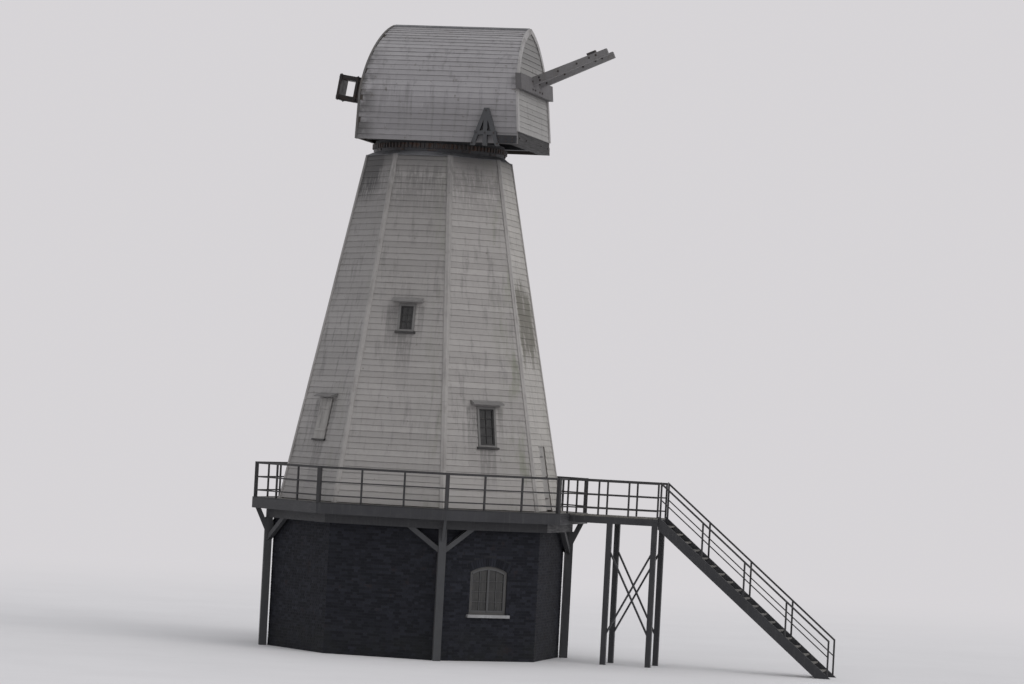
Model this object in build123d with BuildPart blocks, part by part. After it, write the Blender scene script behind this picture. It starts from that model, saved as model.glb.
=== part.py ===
from build123d import *
import os
from math import atan2, cos, degrees, radians, sin, tan

os.makedirs("parts", exist_ok=True)

# Octagonal smock mill, in millimetres. The windshaft points to -Y, the fan spars and the stair to +Y.
# The origin is the centre of the base at ground level.

# Plan
sides = 8
side_angle = 360 / sides
half_angle = side_angle / 2
facing_sides = (0, 90, 180, 270)
corner_sides = (45, 135, 225, 315)

# Smock tower, measured across its flats where it stands on the base and where it meets the curb
stage_level = 4000
smock_bottom_across = 7150
smock_top_across = 3660
smock_height = 9450
smock_wall = 110
smock_sill_width = 230
smock_sill_depth = 220
cant_post_face = 190
cant_post_depth = 130
upper_floor_height = 3450
floor_board = 40
floor_beam_width = 250
floor_beam_depth = 280
floor_beam_offset = 900

# Base
base_step = 120
base_wall = 350
ground_floor_depth = 60
base_window_width = 1150
base_window_height = 1280
base_window_rise = 150
base_window_sill_level = 1230
base_window_sides = (45, 225)
base_sill_overhang = 80
base_sill_projection = 90
base_sill_depth = 80
base_door_side = 180
base_door_width = 1000
base_door_height = 2050

# Openings in the smock, levels measured from the stage to the opening's centre
upper_window_sides = (0, 180)
upper_window_width = 460
upper_window_height = 760
upper_window_level = 5000
lower_window_sides = (45, 135, 225, 315)
lower_window_width = 570
lower_window_height = 1100
lower_window_level = 2190
stage_door_side = 90
stage_door_width = 760
stage_door_height = 1780
frame_face = 60
frame_depth = 90
frame_projection = 40
glass_thickness = 6
glass_setback = 30
hood_overhang = 190
hood_projection = 210
hood_fall = 90
hood_board = 35
hood_rise = 60
door_leaf = 50
door_setback = 30

# Stage round the smock
stage_walk = 703
deck_board = 40
deck_joint = 6
joist_depth = 180
joist_width = 75
joist_spacing = 860
rim_width = 60
rim_depth = 260
bearer_width = 150
bearer_depth = 320
stage_post = 200
stage_post_clearance = 50
brace_width = 120
brace_depth = 130
brace_reach = 950
brace_drop = 680
knee_drop = 560
rail_height = 950
rail_inset = 75
rail_thickness = 45
top_rail = 60
lower_rail = 35
lower_rail_levels = (180, 540)
baluster = 45
corner_post = 95

# Landing and stair
landing_width = 1220
landing_length = 2420
landing_post = 140
landing_post_margin = 90
landing_post_spacing = 1230
landing_brace = 90
landing_brace_low = 700
riser_count = 20
tread_going = 240
tread_board = 40
tread_nosing = 25
stair_width = 1000
string_thickness = 55
string_above = 40
string_below = 300
stair_rail_posts = 5

# Curb and cap frame
curb_setback = 40
curb_width = 360
ring_face_count = 48
curb_height = 300
rack_tooth_count = 96
rack_tooth = 34
rack_band = 22
rack_depth = 130
running_gap = 0.4
cap_ring_depth = 100
cap_ring_inset = 25
sheer_width = 260
sheer_depth = 280
sheer_inset = 280
cap_edge_above_curb = 50

# Cap, heights measured above its lower edge
cap_overhang = 170
cap_side_lean = 80
cap_shoulder_height = 1300
cap_height = 3260
cap_bulge = 430
cap_board = 70
cap_front_overhang = 40
cap_front_lean = 15
cap_front_break = 1200
cap_front_rake = 390
cap_front_bulge = 60
cap_gable = 60
cap_tail_overhang = 840
cap_tail_rake = 290
ridge_roll = 45
tail_beam_width = 280
tail_beam_depth = 340

# Windshaft, inclined down towards the tail
shaft_angle = 8
poll_overhang = 555
poll_height = 1460
poll_length = 1030
poll_width = 700
mortice_along = 410
mortice_across = 430
mortice_spacing = 480
poll_rim = 40
poll_rim_width = 70
neck_radius = 240
neck_margin = 50
shaft_radius = 225
shaft_face_count = 16
journal_radius = 75
shaft_hole_clearance = 35
bearing_gap = 0.4
bearing_length = 240
bearing_side = 120
weather_beam_width = 340
weather_beam_inset = 490
tail_bearing_inset = 1030
tail_bearing_beam_width = 260

# Fan spars
spar_angle = 23.6
spar_root_height = 1760
spar_offset = 430
spar_width = 150
spar_depth = 230
spar_tip_depth = 170
spar_overhang = 2000
spar_inside = 1400
fan_bearing_length = 260
fan_bearing_height = 70
fan_bearing_step = 300
cross_timber_overhang = 60
cross_timber_depth = 420
cross_timber_thickness = 160
cross_timber_drop = 60
anchor_beam_width = 200
anchor_notch = 40

# Winding bracket on the right side of the cap
bracket_inset = 880
bracket_width = 800
bracket_above = 930
bracket_below = 80
bracket_leg = 110
bracket_rail = 600
bracket_rail_height = 260
bracket_thickness = 140

# Worked out from the sizes above
half_tan = tan(radians(half_angle))
half_cos = cos(radians(half_angle))
smock_bottom = smock_bottom_across / 2
smock_top = smock_top_across / 2
base_apothem = smock_bottom + base_step
stage_apothem = smock_bottom + stage_walk
base_height = stage_level - smock_sill_depth
base_window_radius = (base_window_width**2 / 4 + base_window_rise**2) / (2 * base_window_rise)
smock_top_level = stage_level + smock_height
batter = degrees(atan2(smock_bottom - smock_top, smock_height))
smock_slope = smock_height / cos(radians(batter))
wall_thickness = smock_wall * cos(radians(batter))
curb_outer_radius = smock_top - curb_setback
curb_inner_radius = curb_outer_radius - curb_width
curb_top = smock_top_level + curb_height
cap_ring_level = curb_top + running_gap
sheer_level = cap_ring_level + cap_ring_depth
cap_edge = curb_top + cap_edge_above_curb
cap_width = smock_top_across + 2 * cap_overhang
cap_shoulder_width = cap_width - 2 * cap_side_lean
cap_front = curb_outer_radius + cap_front_overhang
cap_front_shoulder = cap_front - cap_front_lean
cap_front_ridge = cap_front - cap_front_rake
cap_tail = curb_outer_radius + cap_tail_overhang
cap_tail_ridge = cap_tail - cap_tail_rake
sheer_offset = curb_inner_radius - sheer_inset
poll_forward = cap_front + poll_overhang
post_radius = base_apothem / half_cos + stage_post_clearance + stage_post / 2
bearer_apothem = post_radius * half_cos
joist_level = stage_level - deck_board - joist_depth
bearer_level = joist_level - bearer_depth
landing_start = stage_apothem
landing_end = stage_apothem + landing_length
outer_landing_post = landing_end - landing_post_margin
inner_landing_post = outer_landing_post - landing_post_spacing
landing_post_places = (inner_landing_post, outer_landing_post)
knee_reach = (stage_apothem - rim_width) / half_cos - post_radius
rail_apothem = stage_apothem - rail_inset
riser = stage_level / riser_count
stair_slope = riser / tread_going


def plan(angle, out, along):
    """A plan point on the side facing the angle, from its distance out and its distance along."""
    turn = radians(angle)
    return (out * cos(turn) - along * sin(turn), out * sin(turn) + along * cos(turn))


def octagon(apothem, mode=Mode.ADD):
    """A regular polygon with its flats facing the sides."""
    RegularPolygon(apothem, sides, major_radius=False, rotation=half_angle, mode=mode)


def side_strip(angle, outer, inner, joint=0):
    """One mitred side of an octagonal ring."""
    far = outer * half_tan - joint / 2
    near = inner * half_tan - joint / 2
    corners = ((outer, -far), (outer, far), (inner, near), (inner, -near))
    Polygon(*(plan(angle, out, along) for out, along in corners), align=None)


def smock_apothem(level):
    """Half the width across the flats at a level above the ground."""
    share = (level - stage_level) / smock_height
    return smock_bottom + (smock_top - smock_bottom) * share


def wall_face(angle, apothem, level, tilt=0):
    """The plane on the outside of a side, its Y axis running up the wall."""
    turn = radians(angle)
    lean = radians(tilt)
    return Plane(
        origin=(*plan(angle, apothem, 0), level),
        x_dir=(-sin(turn), cos(turn), 0),
        z_dir=(cos(lean) * cos(turn), cos(lean) * sin(turn), sin(lean)),
    )


def smock_face(angle, level):
    """The plane on the outside of a leaning side of the smock."""
    return wall_face(angle, smock_apothem(level), level, batter)


def finish(piece, name):
    """Names a finished piece and writes it."""
    piece.part.label = name
    export_step(piece.part, f"parts/{name}.step")


smock_openings = (
    [(side, upper_window_level, upper_window_width, upper_window_height) for side in upper_window_sides]
    + [(side, lower_window_level, lower_window_width, lower_window_height) for side in lower_window_sides]
)
base_window_level = base_window_sill_level + base_window_height / 2


def base_window_outline(drawn_in, mode=Mode.ADD):
    """A base window's outline under its segmental arch, drawn in from the brickwork."""
    half = base_window_width / 2 - drawn_in
    radius = base_window_radius - drawn_in
    crown = base_window_height / 2 - drawn_in
    spring = crown - radius + (radius**2 - half**2) ** 0.5
    foot = drawn_in - base_window_height / 2
    with BuildLine() as outline:
        Polyline((-half, spring), (-half, foot), (half, foot), (half, spring))
        ThreePointArc((half, spring), (0, crown), (-half, spring))
    make_face(outline.edges(), mode=mode)


# Ground floor inside the base
with BuildPart() as ground_floor:
    with BuildSketch():
        octagon(base_apothem - base_wall)
    extrude(amount=ground_floor_depth)
finish(ground_floor, "ground_floor")


def base_walls(angles):
    """Mitred brick walls of the base, with their window and door openings."""
    with BuildPart() as walls:
        with BuildSketch():
            for angle in angles:
                side_strip(angle, base_apothem, base_apothem - base_wall)
        extrude(amount=base_height)
        for angle in set(angles) & set(base_window_sides):
            with BuildSketch(wall_face(angle, base_apothem, base_window_level)):
                base_window_outline(0)
            extrude(amount=base_wall * 2, both=True, mode=Mode.SUBTRACT)
        if base_door_side in angles:
            with BuildSketch(wall_face(base_door_side, base_apothem, ground_floor_depth)):
                Rectangle(base_door_width, base_door_height, align=(Align.CENTER, Align.MIN))
            extrude(amount=base_wall * 2, both=True, mode=Mode.SUBTRACT)
    return walls


finish(base_walls(facing_sides), "base_walls_facing")
finish(base_walls(corner_sides), "base_walls_diagonal")


def frame_ring(width, height):
    """A rectangular frame's outline, with its centre open."""
    Rectangle(width, height)
    Rectangle(width - 2 * frame_face, height - 2 * frame_face, mode=Mode.SUBTRACT)


# Sills of the base's windows
with BuildPart() as base_window_sills:
    for side in base_window_sides:
        with BuildSketch(wall_face(side, base_apothem, base_window_sill_level)):
            Rectangle(
                base_window_width + 2 * base_sill_overhang, base_sill_depth, align=(Align.CENTER, Align.MAX)
            )
        extrude(amount=base_sill_projection)
finish(base_window_sills, "base_window_sills")

# Sill that the smock stands on
with BuildPart() as smock_sill:
    with BuildSketch(Plane.XY.offset(base_height)):
        octagon(smock_bottom)
        octagon(smock_bottom - smock_sill_width, Mode.SUBTRACT)
    extrude(amount=smock_sill_depth)
finish(smock_sill, "smock_sill")


def mitre(angle, heading):
    """The upright plane through the mill's axis at an angle, its Z axis facing the heading."""
    turn = radians(heading)
    return Plane(origin=(*plan(angle, smock_bottom, 0), 0), x_dir=(0, 0, 1), z_dir=(cos(turn), sin(turn), 0))


def leaning_wall(angle):
    """One plain wall of the smock, mitred to its neighbours and cut level at its foot and top."""
    with BuildPart() as wall:
        with BuildSketch(smock_face(angle, stage_level)):
            with Locations((0, -smock_wall)):
                Rectangle(smock_bottom_across, smock_slope + 2 * smock_wall, align=(Align.CENTER, Align.MIN))
        extrude(amount=-wall_thickness)
        split(bisect_by=mitre(angle + half_angle, angle + half_angle - 90), keep=Keep.TOP)
        split(bisect_by=mitre(angle - half_angle, angle - half_angle + 90), keep=Keep.TOP)
        split(bisect_by=Plane.XY.offset(stage_level), keep=Keep.TOP)
        split(bisect_by=Plane.XY.offset(smock_top_level), keep=Keep.BOTTOM)
    return wall.part


def smock_walls(angles):
    """Leaning boarded walls, with their window and door openings."""
    with BuildPart() as walls:
        for angle in angles:
            add(leaning_wall(angle))
        for angle, level, width, height in smock_openings:
            if angle in angles:
                with BuildSketch(smock_face(angle, stage_level + level)):
                    Rectangle(width, height)
                extrude(amount=smock_wall * 2, both=True, mode=Mode.SUBTRACT)
        if stage_door_side in angles:
            with BuildSketch(smock_face(stage_door_side, stage_level)):
                Rectangle(stage_door_width, stage_door_height, align=(Align.CENTER, Align.MIN))
            extrude(amount=smock_wall * 2, both=True, mode=Mode.SUBTRACT)
    return walls


finish(smock_walls(facing_sides), "smock_walls_facing")
finish(smock_walls(corner_sides), "smock_walls_diagonal")


def cant_post_section(angle, apothem):
    """A corner post's section, fitted into the corner between two walls."""
    corner = apothem / half_cos
    back = cant_post_face * sin(radians(half_angle))
    aside = cant_post_face * half_cos
    points = ((corner, 0), (corner - back, aside), (corner - back - cant_post_depth, aside))
    mirrored = [(out, -along) for out, along in reversed(points[1:])]
    Polygon(*(plan(angle, out, along) for out, along in (*points, *mirrored)), align=None)


# Corner posts of the smock
with BuildPart() as cant_posts:
    for number in range(sides):
        corner_angle = half_angle + number * side_angle
        with BuildSketch(Plane.XY.offset(stage_level)):
            cant_post_section(corner_angle, smock_bottom - smock_wall)
        with BuildSketch(Plane.XY.offset(smock_top_level)):
            cant_post_section(corner_angle, smock_top - smock_wall)
        loft()
finish(cant_posts, "cant_posts")


def trim_to_smock(low, high):
    """Keeps what lies inside the smock walls between two levels."""
    with BuildSketch(Plane.XY.offset(low)) as low_outline:
        octagon(smock_apothem(low) - smock_wall)
    with BuildSketch(Plane.XY.offset(high)) as high_outline:
        octagon(smock_apothem(high) - smock_wall)
    loft(sections=[low_outline.sketch, high_outline.sketch], mode=Mode.INTERSECT)


def inner_floor(level):
    """Floor boards across the smock, notched round the corner posts."""
    with BuildPart() as boards:
        with BuildSketch(Plane.XY.offset(level)):
            octagon(smock_apothem(level))
        extrude(amount=floor_board)
        trim_to_smock(level, level + floor_board)
        add(cant_posts.part, mode=Mode.SUBTRACT)
    return boards


upper_floor_level = stage_level + upper_floor_height
finish(inner_floor(stage_level), "lower_floor")
finish(inner_floor(upper_floor_level), "upper_floor")

# Beams under the two floors
with BuildPart() as floor_beams:
    with BuildSketch(Plane.XY.offset(upper_floor_level - floor_beam_depth)):
        with Locations((0, -floor_beam_offset), (0, floor_beam_offset)):
            Rectangle(smock_bottom_across, floor_beam_width)
    extrude(amount=floor_beam_depth)
    trim_to_smock(upper_floor_level - floor_beam_depth, upper_floor_level)
    add(cant_posts.part, mode=Mode.SUBTRACT)
    with BuildSketch(Plane.XY.offset(stage_level - floor_beam_depth)):
        with Locations((0, -floor_beam_offset), (0, floor_beam_offset)):
            Rectangle(2 * (smock_bottom - smock_sill_width), floor_beam_width)
    extrude(amount=floor_beam_depth)
finish(floor_beams, "floor_beams")

# Window frames, proud of the smock's boards and set back in the base's brickwork
with BuildPart() as window_frames:
    for side, level, width, height in smock_openings:
        with BuildSketch(smock_face(side, stage_level + level).offset(frame_projection - frame_depth)):
            frame_ring(width, height)
        extrude(amount=frame_depth)
    for side in base_window_sides:
        with BuildSketch(wall_face(side, base_apothem - frame_depth, base_window_level)):
            base_window_outline(0)
            base_window_outline(frame_face, Mode.SUBTRACT)
        extrude(amount=frame_depth - glass_setback)
finish(window_frames, "window_frames")

with BuildPart() as window_panes:
    for side, level, width, height in smock_openings:
        with BuildSketch(smock_face(side, stage_level + level).offset(-glass_setback)):
            Rectangle(width - 2 * frame_face, height - 2 * frame_face)
        extrude(amount=glass_thickness)
    for side in base_window_sides:
        with BuildSketch(wall_face(side, base_apothem - 2 * glass_setback, base_window_level)):
            base_window_outline(frame_face)
        extrude(amount=glass_thickness)
finish(window_panes, "window_panes")

# Sloping hoods over the smock windows
with BuildPart() as window_hoods:
    for side, level, width, height in smock_openings:
        centre = stage_level + level
        foot = height / 2 * cos(radians(batter)) + hood_rise
        lean = tan(radians(batter))
        section = Plane(
            origin=(*plan(side, smock_apothem(centre), 0), centre),
            x_dir=(cos(radians(side)), sin(radians(side)), 0),
            z_dir=(sin(radians(side)), -cos(radians(side)), 0),
        )
        top = foot + hood_fall + hood_board
        with BuildSketch(section):
            Polygon(
                (-foot * lean, foot),
                (hood_projection - foot * lean, foot),
                (hood_projection - foot * lean, foot + hood_board),
                (-top * lean, top),
                align=None,
            )
        extrude(amount=width / 2 + hood_overhang, both=True)
finish(window_hoods, "window_hoods")

# Doors, closed in their openings
with BuildPart() as base_door:
    with BuildSketch(wall_face(base_door_side, base_apothem - door_setback - door_leaf, ground_floor_depth)):
        Rectangle(base_door_width, base_door_height, align=(Align.CENTER, Align.MIN))
    extrude(amount=door_leaf)
finish(base_door, "base_door")

with BuildPart() as stage_door:
    with BuildSketch(smock_face(stage_door_side, stage_level).offset(-door_setback - door_leaf)):
        Rectangle(stage_door_width, stage_door_height, align=(Align.CENTER, Align.MIN))
    extrude(amount=door_leaf)
    split(bisect_by=Plane.XY.offset(stage_level + floor_board), keep=Keep.TOP)
finish(stage_door, "stage_door")

# Deck of the stage, in one piece a side
with BuildPart() as stage_deck:
    with BuildSketch(Plane.XY.offset(stage_level - deck_board)):
        for number in range(sides):
            side_strip(number * side_angle, stage_apothem, smock_bottom, deck_joint)
    extrude(amount=deck_board)
finish(stage_deck, "stage_deck")

# Joists, square to each side and along each corner
with BuildPart() as stage_joists:
    with BuildSketch(Plane.XY.offset(joist_level)):
        for number in range(sides):
            angle = number * side_angle
            for along in (-joist_spacing, 0, joist_spacing):
                corners = ((0, along - joist_width / 2), (stage_apothem, along - joist_width / 2))
                others = ((stage_apothem, along + joist_width / 2), (0, along + joist_width / 2))
                Polygon(*(plan(angle, *corner) for corner in (*corners, *others)), align=None)
            with Locations(Location((0, 0), angle + half_angle)):
                Rectangle(2 * stage_apothem, joist_width, align=(Align.MIN, Align.CENTER))
        octagon(stage_apothem - rim_width, Mode.INTERSECT)
        octagon(smock_bottom, Mode.SUBTRACT)
    extrude(amount=joist_depth)
finish(stage_joists, "stage_joists")

# Rim round the deck's edge and the bearer on the posts
with BuildPart() as stage_rim:
    with BuildSketch(Plane.XY.offset(stage_level - deck_board - rim_depth)):
        octagon(stage_apothem)
        octagon(stage_apothem - rim_width, Mode.SUBTRACT)
    extrude(amount=rim_depth)
finish(stage_rim, "stage_rim")

with BuildPart() as stage_bearer:
    with BuildSketch(Plane.XY.offset(bearer_level)):
        octagon(bearer_apothem + bearer_width / 2)
        octagon(bearer_apothem - bearer_width / 2, Mode.SUBTRACT)
    extrude(amount=bearer_depth)
finish(stage_bearer, "stage_bearer")

# Posts at every other corner
post_angles = [half_angle + 2 * side_angle * number for number in range(sides // 2)]
with BuildPart() as stage_posts:
    with BuildSketch():
        for angle in post_angles:
            with Locations(Location(plan(angle, post_radius, 0), angle)):
                Rectangle(stage_post, stage_post)
    extrude(amount=bearer_level)
finish(stage_posts, "stage_posts")


def vertical_plane(angle, out, level, heading):
    """An upright plane through a corner point, with X heading along the ground."""
    turn = radians(heading)
    return Plane(
        origin=(*plan(angle, out, 0), level),
        x_dir=(cos(turn), sin(turn), 0),
        z_dir=(sin(turn), -cos(turn), 0),
    )


def raking_bar(reach, drop, depth):
    """A bar rising from a post to the underside of a beam at the sketch's X axis."""
    long = (reach**2 + drop**2) ** 0.5
    run = depth * long / drop
    fall = depth * long / reach
    Polygon((0, -drop), (reach, 0), (reach - run, 0), (0, -drop + fall), align=None)


# Braces from the posts to the bearer, and a knee out to the rim
with BuildPart() as stage_braces:
    for angle in post_angles:
        for heading in (angle + 90 + half_angle, angle - 90 - half_angle):
            with BuildSketch(vertical_plane(angle, post_radius, bearer_level, heading)):
                raking_bar(brace_reach, brace_drop, brace_depth)
            extrude(amount=brace_width / 2, both=True)
        with BuildSketch(vertical_plane(angle, post_radius, joist_level, angle)):
            raking_bar(knee_reach, knee_drop + bearer_depth, brace_depth)
        extrude(amount=joist_width / 2, both=True)
    for carrier in (stage_posts, stage_bearer, stage_rim):
        add(carrier.part, mode=Mode.SUBTRACT)
finish(stage_braces, "stage_braces")

# Posts at the corners of the stage's railing
with BuildPart() as stage_corner_posts:
    with BuildSketch(Plane.XY.offset(stage_level)):
        with PolarLocations(rail_apothem / half_cos, sides, start_angle=half_angle):
            Rectangle(corner_post, corner_post)
    extrude(amount=rail_height)
finish(stage_corner_posts, "stage_corner_posts")

rail_side = 2 * rail_apothem * half_tan
third = rail_side / 6


def railing(start, end, posts):
    """Rails and their posts from start to end along the sketch's X axis."""
    centre = (start + end) / 2
    length = end - start
    with Locations((centre, rail_height)):
        Rectangle(length, top_rail, align=(Align.CENTER, Align.MAX))
    with Locations(*((centre, level) for level in lower_rail_levels)):
        Rectangle(length, lower_rail)
    with Locations(*((at, 0) for at in posts)):
        Rectangle(baluster, rail_height, align=(Align.CENTER, Align.MIN))


# Railing panels between the corner posts, open at the landing
with BuildPart() as stage_railing:
    for number in range(sides):
        angle = number * side_angle
        with BuildSketch(wall_face(angle, rail_apothem, stage_level)):
            if angle == stage_door_side:
                railing(-rail_side / 2, -third + baluster / 2, (-third,))
                railing(third - baluster / 2, rail_side / 2, (third,))
            else:
                railing(-rail_side / 2, rail_side / 2, (-third, third))
        extrude(amount=rail_thickness / 2, both=True)
    add(stage_corner_posts.part, mode=Mode.SUBTRACT)
finish(stage_railing, "stage_railing")

# Landing that runs out from the stage to the stair
with BuildPart() as landing_deck:
    with BuildSketch(Plane.XY.offset(stage_level - deck_board)):
        with Locations((0, landing_start + deck_joint)):
            Rectangle(landing_width, landing_length - deck_joint, align=(Align.CENTER, Align.MIN))
    extrude(amount=deck_board)
finish(landing_deck, "landing_deck")

landing_beam_offset = landing_width / 2 - landing_post / 2
with BuildPart() as landing_frame:
    with BuildSketch(Plane.XY.offset(joist_level)):
        with Locations((0, landing_start)):
            Rectangle(landing_width, landing_length, align=(Align.CENTER, Align.MIN))
        with Locations((0, landing_start + joist_width)):
            Rectangle(
                landing_width - 2 * joist_width,
                landing_length / 2 - 1.5 * joist_width,
                align=(Align.CENTER, Align.MIN),
                mode=Mode.SUBTRACT,
            )
        with Locations((0, landing_end - joist_width)):
            Rectangle(
                landing_width - 2 * joist_width,
                landing_length / 2 - 1.5 * joist_width,
                align=(Align.CENTER, Align.MAX),
                mode=Mode.SUBTRACT,
            )
    extrude(amount=joist_depth)
finish(landing_frame, "landing_frame")

with BuildPart() as landing_posts:
    with BuildSketch():
        for offset in (-landing_beam_offset, landing_beam_offset):
            with Locations(*((offset, place) for place in landing_post_places)):
                Rectangle(landing_post, landing_post)
    extrude(amount=joist_level)
finish(landing_posts, "landing_posts")

# Crossed braces between the landing's posts
with BuildPart() as landing_braces:
    low = landing_brace_low
    high = joist_level - landing_brace_low
    for offset in (-landing_beam_offset, landing_beam_offset):
        with BuildSketch(Plane.YZ.offset(offset)):
            for first, last in (landing_post_places, landing_post_places[::-1]):
                Polygon(
                    (first, low),
                    (last, high),
                    (last, high + landing_brace),
                    (first, low + landing_brace),
                    align=None,
                )
        extrude(amount=landing_brace / 2, both=True)
    add(landing_posts.part, mode=Mode.SUBTRACT)
finish(landing_braces, "landing_braces")

landing_rail_start = rail_apothem + rail_thickness / 2
span = landing_end - landing_rail_start
centre = landing_rail_start + span / 2
thirds = [landing_rail_start + span * share for share in (1 / 3, 2 / 3)]
with BuildPart() as landing_railing:
    for offset in (-third, third):
        with BuildSketch(Plane.YZ.offset(offset)):
            with Locations((centre, stage_level + rail_height)):
                Rectangle(span, top_rail, align=(Align.CENTER, Align.MAX))
            with Locations(*((centre, stage_level + level) for level in lower_rail_levels)):
                Rectangle(span, lower_rail)
            with Locations(*((y, stage_level) for y in (*thirds, landing_end - baluster / 2))):
                Rectangle(baluster, rail_height, align=(Align.CENTER, Align.MIN))
        extrude(amount=rail_thickness / 2, both=True)
finish(landing_railing, "landing_railing")

# Stair down to the ground
string_offset = stair_width / 2 + string_thickness / 2
with BuildPart() as stair_strings:
    for offset in (-string_offset, string_offset):
        with BuildSketch(Plane.YZ.offset(offset)):
            Polygon(
                (landing_end, stage_level + string_above),
                (landing_end + (stage_level + string_above) / stair_slope, 0),
                (landing_end + (stage_level - string_below) / stair_slope, 0),
                (landing_end, stage_level - string_below),
                align=None,
            )
        extrude(amount=string_thickness / 2, both=True)
finish(stair_strings, "stair_strings")

with BuildPart() as stair_treads:
    for number in range(1, riser_count):
        with BuildSketch(Plane.XY.offset(stage_level - number * riser - tread_board)):
            with Locations((0, landing_end + (number - 1) * tread_going)):
                Rectangle(stair_width, tread_going + tread_nosing, align=(Align.CENTER, Align.MIN))
        extrude(amount=tread_board)
finish(stair_treads, "stair_treads")


def string_top(y):
    """The level of the string's upper edge."""
    return stage_level + string_above - (y - landing_end) * stair_slope


# Handrails on posts that stand on the strings
with BuildPart() as stair_railing:
    last_y = landing_end + riser_count * tread_going - baluster
    first_y = landing_end + baluster
    step = (last_y - first_y) / (stair_rail_posts - 1)
    for offset in (-string_offset, string_offset):
        with BuildSketch(Plane.YZ.offset(offset)):
            for above, depth in ((rail_height - top_rail, top_rail), (rail_height / 2, lower_rail)):
                Polygon(
                    (first_y - baluster / 2, string_top(first_y - baluster / 2) + above),
                    (last_y + baluster / 2, string_top(last_y + baluster / 2) + above),
                    (last_y + baluster / 2, string_top(last_y + baluster / 2) + above + depth),
                    (first_y - baluster / 2, string_top(first_y - baluster / 2) + above + depth),
                    align=None,
                )
            for number in range(stair_rail_posts):
                left = first_y + number * step - baluster / 2
                right = left + baluster
                Polygon(
                    (left, string_top(left)),
                    (right, string_top(right)),
                    (right, string_top(right) + rail_height),
                    (left, string_top(left) + rail_height),
                    align=None,
                )
        extrude(amount=rail_thickness / 2, both=True)
finish(stair_railing, "stair_railing")

# Curb on top of the smock, with the toothed rack round it
with BuildPart() as curb:
    with BuildSketch(Plane.XY.offset(smock_top_level)):
        RegularPolygon(curb_outer_radius, ring_face_count)
        RegularPolygon(curb_inner_radius, ring_face_count, mode=Mode.SUBTRACT)
    extrude(amount=curb_height)
finish(curb, "curb")

rack_pitch_radius = curb_outer_radius + rack_band
tooth_half = radians(360 / rack_tooth_count) * rack_pitch_radius / 4
with BuildPart() as curb_rack:
    with BuildSketch(Plane.XY.offset(curb_top - rack_depth)):
        RegularPolygon(rack_pitch_radius, rack_tooth_count)
        with PolarLocations(0, rack_tooth_count):
            Polygon(
                (rack_pitch_radius - rack_band / 2, -tooth_half * 1.2),
                (rack_pitch_radius + rack_tooth, -tooth_half * 0.7),
                (rack_pitch_radius + rack_tooth, tooth_half * 0.7),
                (rack_pitch_radius - rack_band / 2, tooth_half * 1.2),
                align=None,
            )
        RegularPolygon(curb_outer_radius, ring_face_count, mode=Mode.SUBTRACT)
    extrude(amount=rack_depth)
finish(curb_rack, "curb_rack")


def cap_section(shrink, low, mode=Mode.ADD):
    """The cap's cross-section, drawn in by the board's thickness, from a height above its edge."""
    half = cap_width / 2 - shrink
    shoulder = cap_shoulder_width / 2 - shrink
    top = cap_height - shrink
    foot = half - (half - shoulder) * low / cap_shoulder_height
    rise = top - cap_shoulder_height
    long = (shoulder**2 + rise**2) ** 0.5
    middle_out = shoulder / 2 + rise / long * cap_bulge
    middle_up = cap_shoulder_height + rise / 2 + shoulder / long * cap_bulge
    with BuildLine() as outline:
        Polyline((-shoulder, cap_shoulder_height), (-foot, low), (foot, low), (shoulder, cap_shoulder_height))
        ThreePointArc((shoulder, cap_shoulder_height), (middle_out, middle_up), (0, top))
        ThreePointArc((0, top), (-middle_out, middle_up), (-shoulder, cap_shoulder_height))
    make_face(outline.edges(), mode=mode)


def tail_face(height):
    """How far back the tail's face stands at a height above the cap's edge."""
    return cap_tail - (cap_tail - cap_tail_ridge) * height / cap_height


def cap_profile(shrink, mode=Mode.ADD):
    """The cap seen from its side, drawn in at both ends and open above and below."""
    front = shrink - cap_front
    shoulder = shrink - cap_front_shoulder
    ridge = shrink - cap_front_ridge
    low = -cap_height
    tall = cap_height * 1.5
    middle = (shoulder + ridge) / 2 - cap_front_bulge
    with BuildLine() as outline:
        Polyline((ridge, cap_height), (ridge, tall), (tail_face(tall) - shrink, tall))
        Polyline((tail_face(tall) - shrink, tall), (tail_face(low) - shrink, low), (front, low))
        Polyline((front, low), (front, 0), (shoulder, cap_front_break))
        ThreePointArc(
            (shoulder, cap_front_break), (middle, (cap_front_break + cap_height) / 2), (ridge, cap_height)
        )
    make_face(outline.edges(), mode=mode)


across_cap = Plane(origin=(0, 0, cap_edge), x_dir=(1, 0, 0), z_dir=(0, -1, 0))
along_cap = Plane(origin=(0, 0, cap_edge), x_dir=(0, 1, 0), z_dir=(1, 0, 0))
cap_reach = 2 * cap_tail
cap_foot = -cap_height / 3


def trim_to_cap(side_board, end_board):
    """Keeps what lies inside the cap, or inside its boards."""
    with BuildSketch(across_cap) as section:
        cap_section(side_board, cap_foot)
    extrude(section.sketch, amount=cap_reach, both=True, mode=Mode.INTERSECT)
    with BuildSketch(along_cap) as profile:
        cap_profile(end_board)
    extrude(profile.sketch, amount=cap_width, both=True, mode=Mode.INTERSECT)


def cap_side(side_of_ridge):
    """One curved side of the cap, from its lower edge to the ridge."""
    with BuildPart() as shell:
        with BuildSketch(across_cap):
            cap_section(0, 0)
            cap_section(cap_board, cap_foot, Mode.SUBTRACT)
            Rectangle(cap_width, 3 * cap_height, align=(side_of_ridge, Align.CENTER), mode=Mode.INTERSECT)
        extrude(amount=cap_reach, both=True)
        with BuildSketch(along_cap):
            cap_profile(0)
        extrude(amount=cap_width, both=True, mode=Mode.INTERSECT)
    return shell


finish(cap_side(Align.MIN), "cap_side_right")
finish(cap_side(Align.MAX), "cap_side_left")

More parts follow.
